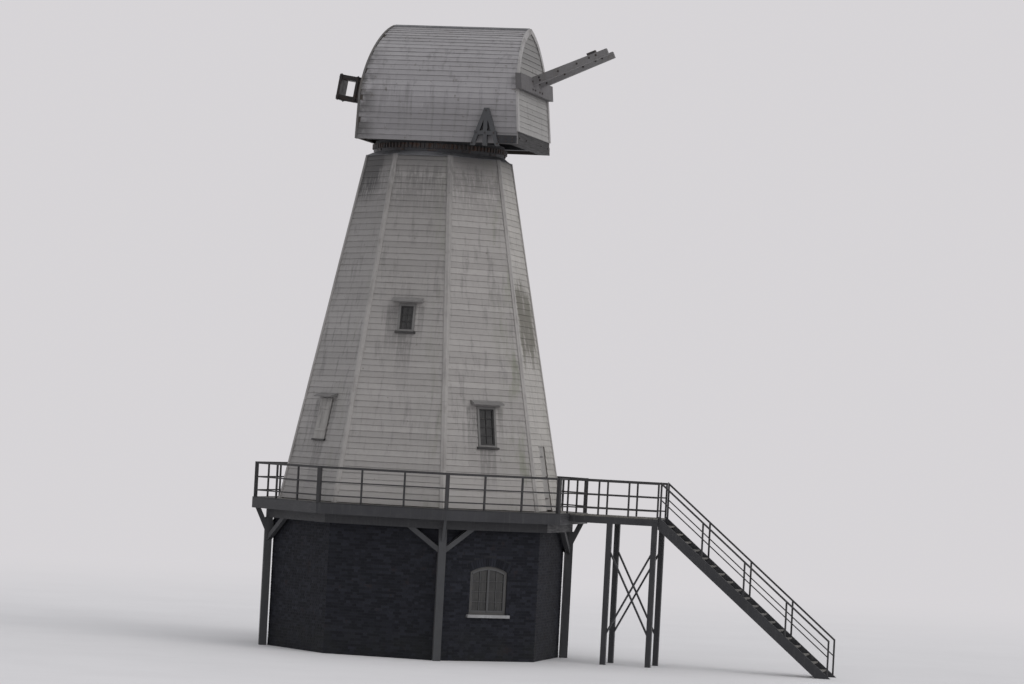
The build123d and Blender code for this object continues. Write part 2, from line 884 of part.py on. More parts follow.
with BuildPart() as cap_ridge:
    with BuildSketch(across_cap):
        with Locations((0, cap_height)):
            Circle(ridge_roll)
        cap_section(0, 0, Mode.SUBTRACT)
    extrude(amount=cap_reach, both=True)
    with BuildSketch(along_cap):
        cap_profile(0)
    extrude(amount=cap_width, both=True, mode=Mode.INTERSECT)
finish(cap_ridge, "cap_ridge")

# Ring that the cap turns on, its sheers and the beam across their tail
with BuildPart() as cap_ring:
    with BuildSketch(Plane.XY.offset(cap_ring_level)):
        RegularPolygon(curb_outer_radius - cap_ring_inset, ring_face_count)
        RegularPolygon(curb_inner_radius + cap_ring_inset, ring_face_count, mode=Mode.SUBTRACT)
    extrude(amount=cap_ring_depth)
    trim_to_cap(cap_board, cap_gable)
finish(cap_ring, "cap_ring")

with BuildPart() as tail_beam:
    with BuildSketch(Plane.XY.offset(cap_edge)):
        with Locations((0, cap_tail - tail_beam_width)):
            Rectangle(cap_width, 2 * tail_beam_width, align=(Align.CENTER, Align.MIN))
    extrude(amount=tail_beam_depth)
    trim_to_cap(cap_board, 0)
finish(tail_beam, "tail_beam")

with BuildPart() as cap_sheers:
    with BuildSketch(Plane.XY.offset(sheer_level)):
        with Locations((-sheer_offset, -cap_front), (sheer_offset, -cap_front)):
            Rectangle(sheer_width, cap_front + cap_tail - tail_beam_width, align=(Align.CENTER, Align.MIN))
    extrude(amount=sheer_depth)
    trim_to_cap(cap_board, cap_gable)
finish(cap_sheers, "cap_sheers")

# Line of the windshaft, seen from its poll end
shaft_tan = tan(radians(shaft_angle))
shaft_cos = cos(radians(shaft_angle))
shaft_line = Plane(
    origin=(0, -poll_forward, cap_edge + poll_height),
    x_dir=(1, 0, 0),
    z_dir=(0, -shaft_cos, sin(radians(shaft_angle))),
)


def shaft_level(y):
    """The level of the windshaft's centre line at a place along the cap."""
    return cap_edge + poll_height - (y + poll_forward) * shaft_tan


def along_shaft(y):
    """How far behind the poll end's centre the windshaft reaches a place along the cap."""
    return (y + poll_forward) / shaft_cos


sheer_top = sheer_level + sheer_depth
neck_seat = weather_beam_inset - cap_front
tail_seat = cap_tail - tail_bearing_inset
weather_beam_top = shaft_level(neck_seat) - neck_radius - bearing_side
tail_bearing_top = shaft_level(tail_seat) - journal_radius - bearing_side / 2


def cross_beam(y, width, low, high):
    """A beam across the cap, its ends cut to the curved sides."""
    with BuildPart() as beam:
        with BuildSketch(Plane.XY.offset(low)):
            with Locations((0, y)):
                Rectangle(cap_width, width)
        extrude(amount=high - low)
        trim_to_cap(cap_board, cap_gable)
    return beam


weather_beam = cross_beam(neck_seat, weather_beam_width, sheer_top, weather_beam_top)
tail_bearing_beam = cross_beam(tail_seat, tail_bearing_beam_width, sheer_top, tail_bearing_top)
finish(weather_beam, "weather_beam")
finish(tail_bearing_beam, "tail_bearing_beam")


def half_bearing(y, radius, side, beam):
    """An open-topped bearing, cut to the beam that it stands on."""
    with BuildPart() as block:
        with BuildSketch(shaft_line.offset(-along_shaft(y))):
            Rectangle(2 * (radius + side), radius + 2 * side, align=(Align.CENTER, Align.MAX))
            Circle(radius + bearing_gap, mode=Mode.SUBTRACT)
        extrude(amount=bearing_length / 2, both=True)
        add(beam.part, mode=Mode.SUBTRACT)
        split(bisect_by=Plane.XY.offset(max(beam.part.bounding_box().max.Z, sheer_top)), keep=Keep.TOP)
    return block


finish(half_bearing(neck_seat, neck_radius, bearing_side, weather_beam), "neck_bearing")
finish(half_bearing(tail_seat, journal_radius, bearing_side / 2, tail_bearing_beam), "tail_bearing")

# Poll end with two crossed mortices for the stocks, cast with its neck
neck_end = along_shaft(neck_seat) + bearing_length / 2 + neck_margin
with BuildPart() as poll_end:
    with BuildSketch(shaft_line):
        Rectangle(poll_width - 2 * poll_rim, poll_width - 2 * poll_rim)
    extrude(amount=poll_length / 2, both=True)
    for place in (-poll_length / 2, -poll_rim_width / 2, poll_length / 2 - poll_rim_width):
        with BuildSketch(shaft_line.offset(place)):
            Rectangle(poll_width, poll_width)
        extrude(amount=poll_rim_width)
    with BuildSketch(shaft_line.offset(-neck_end)):
        Circle(neck_radius)
    extrude(amount=neck_end)
    across_poll = Plane(origin=shaft_line.origin, x_dir=shaft_line.y_dir, z_dir=shaft_line.x_dir)
    up_poll = Plane(origin=shaft_line.origin, x_dir=shaft_line.x_dir, z_dir=shaft_line.y_dir)
    with BuildSketch(across_poll):
        with Locations((0, mortice_spacing / 2)):
            Rectangle(mortice_across, mortice_along)
    extrude(amount=poll_width, both=True, mode=Mode.SUBTRACT)
    with BuildSketch(up_poll):
        with Locations((0, mortice_spacing / 2)):
            Rectangle(mortice_across, mortice_along)
    extrude(amount=poll_width, both=True, mode=Mode.SUBTRACT)
finish(poll_end, "poll_end")

shaft_end = along_shaft(tail_seat) - bearing_length / 2 - neck_margin
with BuildPart() as windshaft:
    with BuildSketch(shaft_line.offset(-shaft_end)):
        RegularPolygon(shaft_radius, shaft_face_count)
    extrude(amount=shaft_end - neck_end)
    with BuildSketch(shaft_line.offset(-shaft_end)):
        Circle(journal_radius)
    extrude(amount=-bearing_length - 2 * neck_margin)
finish(windshaft, "windshaft")


def spar_line(offset):
    """The upright plane of a fan spar, its X axis rising along the spar from the tail's face."""
    rise = radians(spar_angle)
    return Plane(
        origin=(offset, tail_face(spar_root_height), cap_edge + spar_root_height),
        x_dir=(0, cos(rise), sin(rise)),
        z_dir=(1, 0, 0),
    )


# Two spars that carried the fan, raked up out of the tail
spar_length = (cap_tail + spar_overhang - tail_face(spar_root_height)) / cos(radians(spar_angle))
with BuildPart() as fan_spars:
    for offset in (-spar_offset, spar_offset):
        with BuildSketch(spar_line(offset)):
            outline = (
                (-spar_inside, -spar_depth / 2),
                (0, -spar_depth / 2),
                (spar_length, -spar_tip_depth / 2),
                (spar_length, spar_tip_depth / 2),
                (0, spar_depth / 2),
                (-spar_inside, spar_depth / 2),
            )
            Polygon(*outline, align=None)
        extrude(amount=spar_width / 2, both=True)
finish(fan_spars, "fan_spars")

with BuildPart() as fan_bearings:
    for offset in (-spar_offset, spar_offset):
        with BuildSketch(spar_line(offset)):
            with Locations((spar_length - fan_bearing_step, 0)):
                Rectangle(
                    fan_bearing_length,
                    spar_tip_depth / 2 + fan_bearing_height,
                    align=(Align.MAX, Align.MIN),
                )
        extrude(amount=spar_width / 2, both=True)
    add(fan_spars.part, mode=Mode.SUBTRACT)
finish(fan_bearings, "fan_bearings")

# Timber across the tail's face under the spars, and the beam that holds their inner ends down
with BuildPart() as fan_cross_timber:
    low = spar_root_height - cross_timber_depth / 2 - cross_timber_drop
    high = low + cross_timber_depth
    with BuildSketch(along_cap):
        Polygon(
            (tail_face(low), low),
            (tail_face(low) + cross_timber_thickness, low),
            (tail_face(high) + cross_timber_thickness, high),
            (tail_face(high), high),
            align=None,
        )
    extrude(amount=cap_shoulder_width / 2 + cross_timber_overhang, both=True)
    add(fan_spars.part, mode=Mode.SUBTRACT)
finish(fan_cross_timber, "fan_cross_timber")

with BuildPart() as spar_anchor_beam:
    inner_point = (anchor_beam_width - spar_inside, spar_depth / 2 - anchor_notch)
    inner_end = spar_line(0).from_local_coords(inner_point)
    with BuildSketch(Plane.XY.offset(inner_end.Z)):
        with Locations((0, inner_end.Y)):
            Rectangle(cap_width, anchor_beam_width)
    extrude(amount=anchor_beam_width)
    trim_to_cap(cap_board, cap_gable)
    add(fan_spars.part, mode=Mode.SUBTRACT)
finish(spar_anchor_beam, "spar_anchor_beam")


def cap_gable_wall(front):
    """An end wall of the cap, inside its curved sides."""
    with BuildPart() as gable:
        with BuildSketch(across_cap):
            cap_section(cap_board, 0)
        extrude(amount=cap_reach, both=True)
        with BuildSketch(along_cap):
            cap_profile(0)
            cap_profile(cap_gable, Mode.SUBTRACT)
            Rectangle(
                2 * cap_reach, 3 * cap_height, align=(Align.MAX if front else Align.MIN, Align.CENTER),
                mode=Mode.INTERSECT,
            )
        extrude(amount=cap_width, both=True, mode=Mode.INTERSECT)
        if front:
            with BuildSketch(shaft_line.offset(-neck_end)):
                Circle(neck_radius + shaft_hole_clearance)
            extrude(amount=neck_end, mode=Mode.SUBTRACT)
        else:
            add(tail_beam.part, mode=Mode.SUBTRACT)
            add(fan_spars.part, mode=Mode.SUBTRACT)
    return gable


finish(cap_gable_wall(True), "cap_front_gable")
finish(cap_gable_wall(False), "cap_tail_gable")

# Winding bracket on the right side, an A of timber with an upright in it
with BuildPart() as winding_bracket:
    with BuildSketch(along_cap.offset(cap_shoulder_width / 2 - cap_board)):
        half = bracket_width / 2
        bracket_back = cap_tail - bracket_inset
        for foot in (bracket_back - half, bracket_back + half):
            inward = bracket_leg if foot < bracket_back else -bracket_leg
            Polygon(
                (foot, -bracket_below),
                (foot + inward, -bracket_below),
                (bracket_back + inward / 2, bracket_above),
                (bracket_back - inward / 2, bracket_above),
                align=None,
            )
        with Locations((bracket_back, bracket_rail_height)):
            Rectangle(bracket_rail, bracket_leg)
        with Locations((bracket_back, -bracket_below)):
            Rectangle(bracket_leg, bracket_below + bracket_above, align=(Align.CENTER, Align.MIN))
    extrude(amount=(cap_width - cap_shoulder_width) / 2 + cap_board + bracket_thickness)
    with BuildSketch(across_cap):
        cap_section(0, cap_foot)
    extrude(amount=cap_reach, both=True, mode=Mode.SUBTRACT)
finish(winding_bracket, "winding_bracket")
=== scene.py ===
# %% [markdown]
# # A smock mill that has lost its sails
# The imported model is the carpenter's frame: posts, walls, floors, cap and windshaft, all fixed.
# This lesson dresses it with what was left out there: every weatherboard, brick, deck board, glazing bar and bolt,
# and the weathered paint, tar and iron.

# %% Load the fixed frame
import math
import random

import bmesh
import bpy
import numpy as np
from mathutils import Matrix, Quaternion, Vector


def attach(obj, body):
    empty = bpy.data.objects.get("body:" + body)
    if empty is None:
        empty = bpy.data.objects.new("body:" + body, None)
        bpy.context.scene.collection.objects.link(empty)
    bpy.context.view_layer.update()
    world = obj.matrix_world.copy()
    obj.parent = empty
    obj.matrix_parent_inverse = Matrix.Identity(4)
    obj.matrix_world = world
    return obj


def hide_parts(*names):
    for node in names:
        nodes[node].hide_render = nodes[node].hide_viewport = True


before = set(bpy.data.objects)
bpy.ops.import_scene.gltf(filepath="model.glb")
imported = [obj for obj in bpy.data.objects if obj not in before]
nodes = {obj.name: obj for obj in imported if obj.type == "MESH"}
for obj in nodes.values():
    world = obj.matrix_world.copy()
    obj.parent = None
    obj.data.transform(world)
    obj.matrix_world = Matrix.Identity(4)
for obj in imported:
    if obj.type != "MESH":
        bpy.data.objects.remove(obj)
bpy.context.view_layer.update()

# %% [markdown]
# ## Camera
# The mill was seen from its right side, from far away and slightly below its middle, so the lens is long and nothing
# converges. The whole mill leans a little to the right in the view, so the camera is rolled and the mill stays plumb.

# %% The camera
IMAGE_WIDTH, IMAGE_HEIGHT = 1024, 684
VIEW_AZIMUTH, VIEW_ELEVATION, VIEW_ROLL = 103, -1.3, 3
VIEW_DISTANCE = 110
FRAME_HEIGHT = 18.6
AIM = Vector((0, 2.3, 8.55))


def direction(azimuth, elevation):
    """The way towards a viewer. Azimuth 0 is in front of the mill and 90 on its right."""
    turn, rise = math.radians(azimuth), math.radians(elevation)
    return Vector((math.sin(turn) * math.cos(rise), -math.cos(turn) * math.cos(rise), math.sin(rise)))


def add_object(name, data):
    made = bpy.data.objects.new(name, data)
    bpy.context.collection.objects.link(made)
    return made


def point_back(thing, away, roll=0.0):
    """Turns a camera or a lamp so that it looks against a direction."""
    thing.rotation_mode = "QUATERNION"
    thing.rotation_quaternion = away.to_track_quat("Z", "Y") @ Quaternion((0, 0, 1), math.radians(roll))


back = direction(VIEW_AZIMUTH, VIEW_ELEVATION)
camera = add_object("camera", bpy.data.cameras.new("camera"))
camera.location = AIM + back * VIEW_DISTANCE
point_back(camera, back, VIEW_ROLL)
camera.data.lens = camera.data.sensor_width * VIEW_DISTANCE / (FRAME_HEIGHT * IMAGE_WIDTH / IMAGE_HEIGHT)
camera.data.clip_end = 2000
bpy.context.scene.camera = camera
bpy.context.scene.view_settings.view_transform = "Standard"
print("Lens", round(camera.data.lens), "mm, camera", round(camera.location.z, 1), "m above the ground")

# %% [markdown]
# ## Nodes by hand
# A material is a small program of nodes. A few helpers keep that program readable: one adds a node and fills its
# sockets, others do arithmetic on masks, and one mixes two colours by a mask.

# %% Helpers for node trees
def is_socket(value):
    return isinstance(value, bpy.types.NodeSocket)


def tree_of(*values):
    """The node tree that the sockets among the values belong to."""
    return next(value.id_data for value in values if is_socket(value))


def fill(made, inputs):
    """Links a node's inputs to sockets, or sets them to plain values."""
    for key, value in inputs.items():
        if is_socket(value):
            made.id_data.links.new(value, made.inputs[key])
        else:
            made.inputs[key].default_value = value


def node(tree, kind, inputs=None, **settings):
    """Adds a node, sets its options and fills its inputs."""
    made = tree.nodes.new(kind)
    for key, value in settings.items():
        setattr(made, key, value)
    fill(made, inputs or {})
    return made


def maths(operation, *values):
    """One step of arithmetic on masks."""
    return node(tree_of(*values), "ShaderNodeMath", dict(enumerate(values)), operation=operation).outputs[0]


def times(first, *others):
    for other in others:
        first = maths("MULTIPLY", first, other)
    return first


def most(first, *others):
    for other in others:
        first = maths("MAXIMUM", first, other)
    return first


def ramp(value, low, high, bottom=0.0, top=1.0):
    """A smooth step from bottom to top as the value goes from low to high."""
    inputs = {"Value": value, "From Min": low, "From Max": high, "To Min": bottom, "To Max": top}
    return node(tree_of(value), "ShaderNodeMapRange", inputs, interpolation_type="SMOOTHSTEP").outputs["Result"]


def blend(mask, first, second):
    """The first colour where the mask is 0 and the second where it is 1."""
    first, second = ((*colour, 1) if isinstance(colour, tuple) else colour for colour in (first, second))
    inputs = {"Factor": mask, 6: first, 7: second}
    return node(tree_of(mask, first, second), "ShaderNodeMix", inputs, data_type="RGBA").outputs[2]


def parts(vector):
    return node(tree_of(vector), "ShaderNodeSeparateXYZ", {0: vector}).outputs


# %% [markdown]
# ## Effects that several finishes share
# Rain draws dark runs down paint, tar and iron alike. Paint and tar wear off in patches. Sawn timber shows grain along
# its length. Each of these is a node group with its own inputs, built once here and placed in every material that
# needs it with that material's own values.

# %% Shared effects as node groups
def make_effect(name, build, **sockets):
    """A node group that puts out one mask, as a function that places it in a material with that material's values."""
    labels = [label.replace("_", " ") for label in sockets]
    group = bpy.data.node_groups.new(name, "ShaderNodeTree")
    for label, value in zip(labels, sockets.values()):
        kind = "NodeSocketVector" if value is None else "NodeSocketFloat"
        socket = group.interface.new_socket(label, in_out="INPUT", socket_type=kind)
        if value is not None:
            socket.default_value = value
    group.interface.new_socket("Mask", in_out="OUTPUT", socket_type="NodeSocketFloat")
    entry = node(group, "NodeGroupInput").outputs
    node(group, "NodeGroupOutput", {"Mask": build(*(entry[label] for label in labels))})

    def place(*values):
        return node(tree_of(*values), "ShaderNodeGroup", dict(zip(labels, values)), node_tree=group).outputs["Mask"]
    return place


def stretched(vector, x, y, z):
    """The vector with its three parts multiplied, so that noise is stretched along one of them."""
    scale = node(tree_of(vector), "ShaderNodeCombineXYZ", {"X": x, "Y": y, "Z": z}).outputs[0]
    return node(tree_of(vector), "ShaderNodeVectorMath", {0: vector, 1: scale}, operation="MULTIPLY").outputs[0]


def noise(vector, scale, detail, roughness):
    """Fractal noise from 0 to 1."""
    inputs = {"Vector": vector, "Scale": scale, "Detail": detail, "Roughness": roughness}
    return node(tree_of(vector), "ShaderNodeTexNoise", inputs).outputs["Fac"]


def build_runs(vector, width, length, start, full):
    return ramp(noise(stretched(vector, width, width, length), 1, 4, 0.6), start, full)


def build_patches(vector, scale, start, full):
    return ramp(noise(vector, scale, 6, 0.62), start, full)


def build_grain(vector, length, width, depth):
    return ramp(noise(stretched(vector, length, width, depth), 1, 5, 0.65), 0.3, 0.7)


def build_below(along, up, centre, half, core, top, fade):
    aside = maths("ABSOLUTE", maths("SUBTRACT", along, centre))
    drop = maths("DIVIDE", maths("SUBTRACT", top, up), fade)
    return times(ramp(aside, times(half, core), half, 1, 0), ramp(drop, 0, 0.04), ramp(drop, 0.04, 1, 1, 0))


rain_runs = make_effect("Rain runs", build_runs, Vector=None, Width=9.0, Length=0.6, From=0.5, To=0.72)
worn_patches = make_effect("Worn patches", build_patches, Vector=None, Scale=3.0, From=0.55, To=0.7)
wood_grain = make_effect("Wood grain", build_grain, Vector=None, Length=1.5, Width=60.0, Depth=60.0)
stain_below = make_effect("Stain below an edge", build_below, Along=0.0, Up=0.0, Centre=0.0, Half_Width=0.3, Core=0.75,
                          Top=1.0, Fade=1.0)
print("Shared effects:", [group.name for group in bpy.data.node_groups])

# %% [markdown]
# ## Starting a finish
# Each finish reads the piece's own coordinates, so that it stays on the piece when the cap turns. The boards and
# bricks made below also carry their own numbers: a tone for each one, a grain direction, their place on the wall, and
# a mark along their worn lower edge.

# %% Starting and ending a material
def start_finish(name, metallic=0.0):
    """A material with its Principled shader and the object's coordinates."""
    finish = bpy.data.materials.new(name)
    finish.use_nodes = True
    shader = finish.node_tree.nodes["Principled BSDF"]
    shader.inputs["Metallic"].default_value = metallic
    return finish, shader, node(finish.node_tree, "ShaderNodeTexCoord").outputs["Object"]


def carried(finish, name, kind="Fac"):
    """The number that each vertex of a made piece carries, or its three numbers as a Vector."""
    return node(finish.node_tree, "ShaderNodeAttribute", attribute_name=name).outputs[kind]


def clouds(coordinates, scale):
    """Patches with soft edges that cover about half of the surface."""
    return worn_patches(coordinates, scale, 0.3, 0.7)


def surface(shader, colour, roughness, height, strength, distance):
    """Gives the shader a colour and a roughness, and bumps it by a height mask."""
    bump = node(tree_of(height), "ShaderNodeBump", {"Height": height, "Strength": strength, "Distance": distance})
    fill(shader, {"Base Color": colour, "Roughness": roughness, "Normal": bump.outputs["Normal"]})


# %% [markdown]
# ## Weathered paint on boards
# The smock's white paint has gone grey. It is streaked by rain, dirty under the curb and below each window hood, and
# worn to bare wood in small flakes. Right under the curb it is also painted darker as shade from the cap's overhang. It
# is greenish near one corner, and cleanest low down behind the railing. Two opposite walls carry a patch of soot under
# the curb, and the wall with the stage door an irregular band of olive mould. The cap has the same paint, greyer, with
# dark blotches at its boards' front ends, and its nearly upright skirt is painted darker as shade. One function makes
# all of these, because only the colours and the places of the stains and the shade differ.

# %% Painted boards
BLACK = (0.0, 0.0, 0.0)
BARE_WOOD = (0.115, 0.102, 0.092)
# Grime's colour, also used as painted shade under the curb and on the cap's skirt.
GRIME_AND_SHADE = (0.062, 0.060, 0.059)
ALGAE = (0.150, 0.165, 0.105)
OLIVE_MOULD = (0.092, 0.086, 0.062)
SOOT = (0.036, 0.035, 0.034)
HARD_CORE, SOFT_CORE = 0.75, 0.25
CLEANER = 1.18


def painted_boards(name, pale, dull, runs=0.3, stains=(), cleaner_below=None, dirt_and_shade_above=None, green=0.0, flakes=0.66,
                   graded=None, mould_band=None, dark_end=None, soot_patch=None):
    """Old paint on boards. A stain is its centre along the wall, half its width, its top, its fade and its depth.

    Graded darkening is two heights and its share at each; on the cap's skirt it is painted shade.
    Dirt and shade above is two heights and the shares of streaked dirt and of even painted shade just under the top."""
    finish, shader, coordinates = start_finish(name)
    along, up, _ = parts(carried(finish, "wall", "Vector"))
    grain = wood_grain(carried(finish, "grain", "Vector"), 1.3, 55.0, 1.0)
    colour = blend(carried(finish, "tone"), dull, pale)
    colour = blend(times(clouds(coordinates, 0.55), 0.30), colour, dull)
    colour = blend(times(clouds(coordinates, 7.0), 0.08), colour, GRIME_AND_SHADE)
    grime_and_shade = times(rain_runs(coordinates, 6.5, 0.35), runs)
    drips = rain_runs(coordinates, 14.0, 0.5, 0.35, 0.6)
    if cleaner_below:
        grime_and_shade = times(grime_and_shade, ramp(up, cleaner_below * 0.4, cleaner_below * 1.6, 0.35, 1))
        colour = blend(ramp(up, 0.3, cleaner_below, 0.55, 0), colour, tuple(part * CLEANER for part in pale))
    if graded:
        # A graded darkening; on the cap it is painted shade on the nearly upright skirt.
        colour = blend(ramp(up, *graded), colour, GRIME_AND_SHADE)
    for centre, half, top, fade, depth in stains:
        stain = stain_below(along, up, centre, half, HARD_CORE, top, fade)
        grime_and_shade = most(grime_and_shade, times(stain, ramp(drips, 0, 1, depth * 0.45, depth)))
    if dirt_and_shade_above:
        # Streaked dirt below the top height, and an even band of painted shade in the last 0.8 m up to it, for the
        # curb's overhang.
        low, high, streaked, even_shade = dirt_and_shade_above
        grime_and_shade = most(grime_and_shade, times(ramp(up, low, high), drips, streaked), ramp(up, high - 0.8, high, 0, even_shade))
    if soot_patch:
        centre, half, top, fade = soot_patch
        soot = stain_below(along, up, centre, half, SOFT_CORE, top, fade)
        soot = times(soot, maths("ADD", times(drips, 0.9), 1.0))
        colour = blend(ramp(soot, 0.15, 1.0, 0, 0.92), colour, SOOT)
    if dark_end:
        first, last, depth = dark_end
        grime_and_shade = most(grime_and_shade, times(ramp(along, first, last, depth, 0), worn_patches(coordinates, 2.4, 0.36, 0.6)))
    colour = blend(grime_and_shade, colour, GRIME_AND_SHADE)
    if mould_band:
        *rise, fall, high, depth = mould_band
        inward = ramp(maths("ABSOLUTE", along), 0.55, 1.25, 1, 0.3)
        within = times(ramp(up, *rise), ramp(up, fall, high, 1, 0), inward, 0.42)
        grown = maths("ADD", within, noise(stretched(coordinates, 3.0, 3.0, 1.1), 1, 6, 0.68))
        colour = blend(ramp(grown, 0.60, 0.92, 0, depth), colour, OLIVE_MOULD)
    if green:
        colour = blend(times(rain_runs(coordinates, 4.0, 0.5, 0.45, 0.7), ramp(along, 0.0, 1.1), green), colour, ALGAE)
    flaked = times(worn_patches(coordinates, 5.0, flakes, flakes + 0.06), grain)
    bare = most(flaked, times(carried(finish, "edge"), worn_patches(coordinates, 2.2, 0.48, 0.66), 0.35))
    surface(shader, blend(bare, colour, BARE_WOOD), ramp(bare, 0, 1, 0.55, 0.85),
            maths("SUBTRACT", times(grain, 0.5), bare), 0.35, 0.004)
    return finish


UPPER_WINDOW, LOWER_WINDOW = (5.08, 0.46, 0.76), (2.23, 0.57, 1.10)


def window_stains(window):
    """A wide and a narrow drip from the hood's ends, and one below the sill."""
    up, wide, high = window
    ends = wide / 2 + 0.16
    return ((-ends, 0.19, up + high / 2, 1.9, 0.55), (ends, 0.09, up + high / 2, 1.5, 0.4),
            (0, wide / 2, up - high / 2, 1.7, 0.45))


def smock_paint(name, pale=(0.368, 0.350, 0.338), dull=(0.300, 0.285, 0.275), runs=0.3, stains=(), green=0.0,
                curb_dirt_and_shade=(7.4, 9.65, 0.6, 0.72), **marks):
    """The smock's paint, cleaner behind the railing, dirty under the curb, and with painted shade right under it."""
    return painted_boards(name, pale, dull, runs, stains, 1.3, curb_dirt_and_shade, green, **marks)


boards_upper = smock_paint("Boards with upper windows", runs=0.28, stains=window_stains(UPPER_WINDOW), green=0.25,
                           graded=(4.0, 8.4, 0, 0.25))
boards_lower = smock_paint("Boards with lower windows", stains=window_stains(LOWER_WINDOW), green=0.5)
boards_front = smock_paint("Boards stained under the curb", (0.335, 0.320, 0.312), (0.270, 0.258, 0.251), 0.4,
                           window_stains(LOWER_WINDOW), 0.2, graded=(5.0, 8.4, 0, 0.26),
                           soot_patch=(-0.55, 1.15, 9.62, 1.8))
boards_plain = smock_paint("Boards without windows", green=0.2)
boards_door = smock_paint("Boards with mould", (0.425, 0.405, 0.380), (0.350, 0.334, 0.312), 0.35, green=0.3,
                          curb_dirt_and_shade=(8.2, 9.65, 0.4, 0.5), mould_band=(3.4, 4.8, 5.2, 7.0, 0.9))
corner_paint = smock_paint("Corner board paint", (0.365, 0.348, 0.336), (0.315, 0.300, 0.289), 0.25,
                           graded=(4.0, 8.4, 0, 0.15))
door_white = painted_boards("Stage door paint", (0.34, 0.325, 0.31), (0.28, 0.268, 0.255), 0.4)
dark_joinery = painted_boards("Dark sashes", (0.034, 0.033, 0.033), (0.022, 0.021, 0.021), flakes=0.6)
grey_joinery = painted_boards("Grey sashes", (0.088, 0.089, 0.092), (0.058, 0.058, 0.060), flakes=0.6)
# The cap's skirt is darker by the graded share, as painted shade on its nearly upright part.
cap_paint = painted_boards("Cap board paint", (0.335, 0.324, 0.334), (0.280, 0.270, 0.279), flakes=0.63,
                           graded=(0.715, 1.21, 0.30, 0), dirt_and_shade_above=(2.6, 4.2, 0.15, 0),
                           dark_end=(-1.80, -1.15, 0.85))
gable_paint = painted_boards("Cap gable paint", (0.315, 0.307, 0.296), (0.260, 0.253, 0.244), flakes=0.62,
                             dirt_and_shade_above=(1.7, 2.5, 0.45, 0.42))
bare_barge = painted_boards("Front barge boards, worn", (0.13, 0.125, 0.124), (0.085, 0.081, 0.080), 0.6, flakes=0.5)
barge_paint = painted_boards("Tail barge board paint", (0.385, 0.372, 0.368), (0.320, 0.309, 0.305), flakes=0.64)
print("Paints made:", len(bpy.data.materials))

# %% [markdown]
# ## Timber without paint, and timber under tar
# The carpenter's own pieces have no board coordinates, so their grain follows the object's axes: upright for posts,
# level for beams. Tar looks black and slightly shiny, and wears to grey along rain runs.

# %% Timber finishes
def timber(name, light, dark, axis, wear=0.3, worn=BARE_WOOD, rough=(0.6, 0.85), made=False, below=None):
    """Timber with grain along an axis of the object, or along its own boards where they carry a direction.

    Below is a level under which the colour is darker, as painted shade, and the share of it that is left there."""
    finish, shader, coordinates = start_finish(name)
    if made:
        grain, shade = wood_grain(carried(finish, "grain", "Vector"), 1.6, 60.0, 1.0), carried(finish, "tone")
    else:
        grain = wood_grain(coordinates, *(1.6 if part == axis else 45.0 for part in "xyz"))
        shade = clouds(coordinates, 0.9)
    colour = blend(times(maths("ADD", grain, shade), 0.5), dark, light)
    if below:
        level, share = below
        colour = blend(times(maths("LESS_THAN", parts(coordinates)["Z"], level), 1 - share), colour, BLACK)
    patch = times(worn_patches(coordinates, 2.6, 0.5, 0.68), grain)
    wearing = times(most(patch, rain_runs(coordinates, 11.0, 0.9, 0.5, 0.72)), wear)
    surface(shader, blend(wearing, colour, worn), ramp(maths("ADD", grain, wearing), 0, 1.2, *rough), grain, 0.4, 0.003)
    return finish


STAGE = 4.0
TAR_LIGHT, TAR_DARK, TAR_WORN = (0.036, 0.0366, 0.041), (0.018, 0.0185, 0.0215), (0.070, 0.069, 0.070)
BARE_LIGHT, BARE_DARK = (0.24, 0.165, 0.1), (0.14, 0.09, 0.055)
tar_upright, tar_across, tar_along = (
    timber("Tarred timber, " + way, TAR_LIGHT, TAR_DARK, axis, 0.5, TAR_WORN, (0.45, 0.75))
    for way, axis in (("upright", "z"), ("across", "x"), ("along", "y")))
tar_fittings = timber("Tarred fittings", (0.026, 0.0265, 0.0295), (0.012, 0.0125, 0.0148), "y", 0.3, TAR_WORN,
                      (0.5, 0.8), made=True)
black_beam = timber("Black tail beam", (0.020, 0.0195, 0.0195), (0.011, 0.0107, 0.0107), "x", 0.3, (0.05, 0.047, 0.045))
grey_posts = timber("Weathered grey posts", (0.066, 0.068, 0.073), (0.038, 0.039, 0.042), "z", 0.4,
                    (0.08, 0.079, 0.079), (0.5, 0.8))
grey_beams = timber("Weathered grey beams", (0.140, 0.134, 0.137), (0.082, 0.078, 0.080), "x", 0.5, (0.09, 0.085, 0.08))
spar_paint = timber("Worn grey spars", (0.205, 0.198, 0.203), (0.125, 0.120, 0.122), "y", 0.5, (0.13, 0.12, 0.11))
dark_shaft = timber("Weathered windshaft", (0.060, 0.054, 0.050), (0.034, 0.031, 0.029), "y", 0.3, (0.09, 0.08, 0.07))
rail_paint = timber("Railing paint", (0.044, 0.043, 0.045), (0.026, 0.0255, 0.027), "z", 0.4, (0.085, 0.08, 0.077))
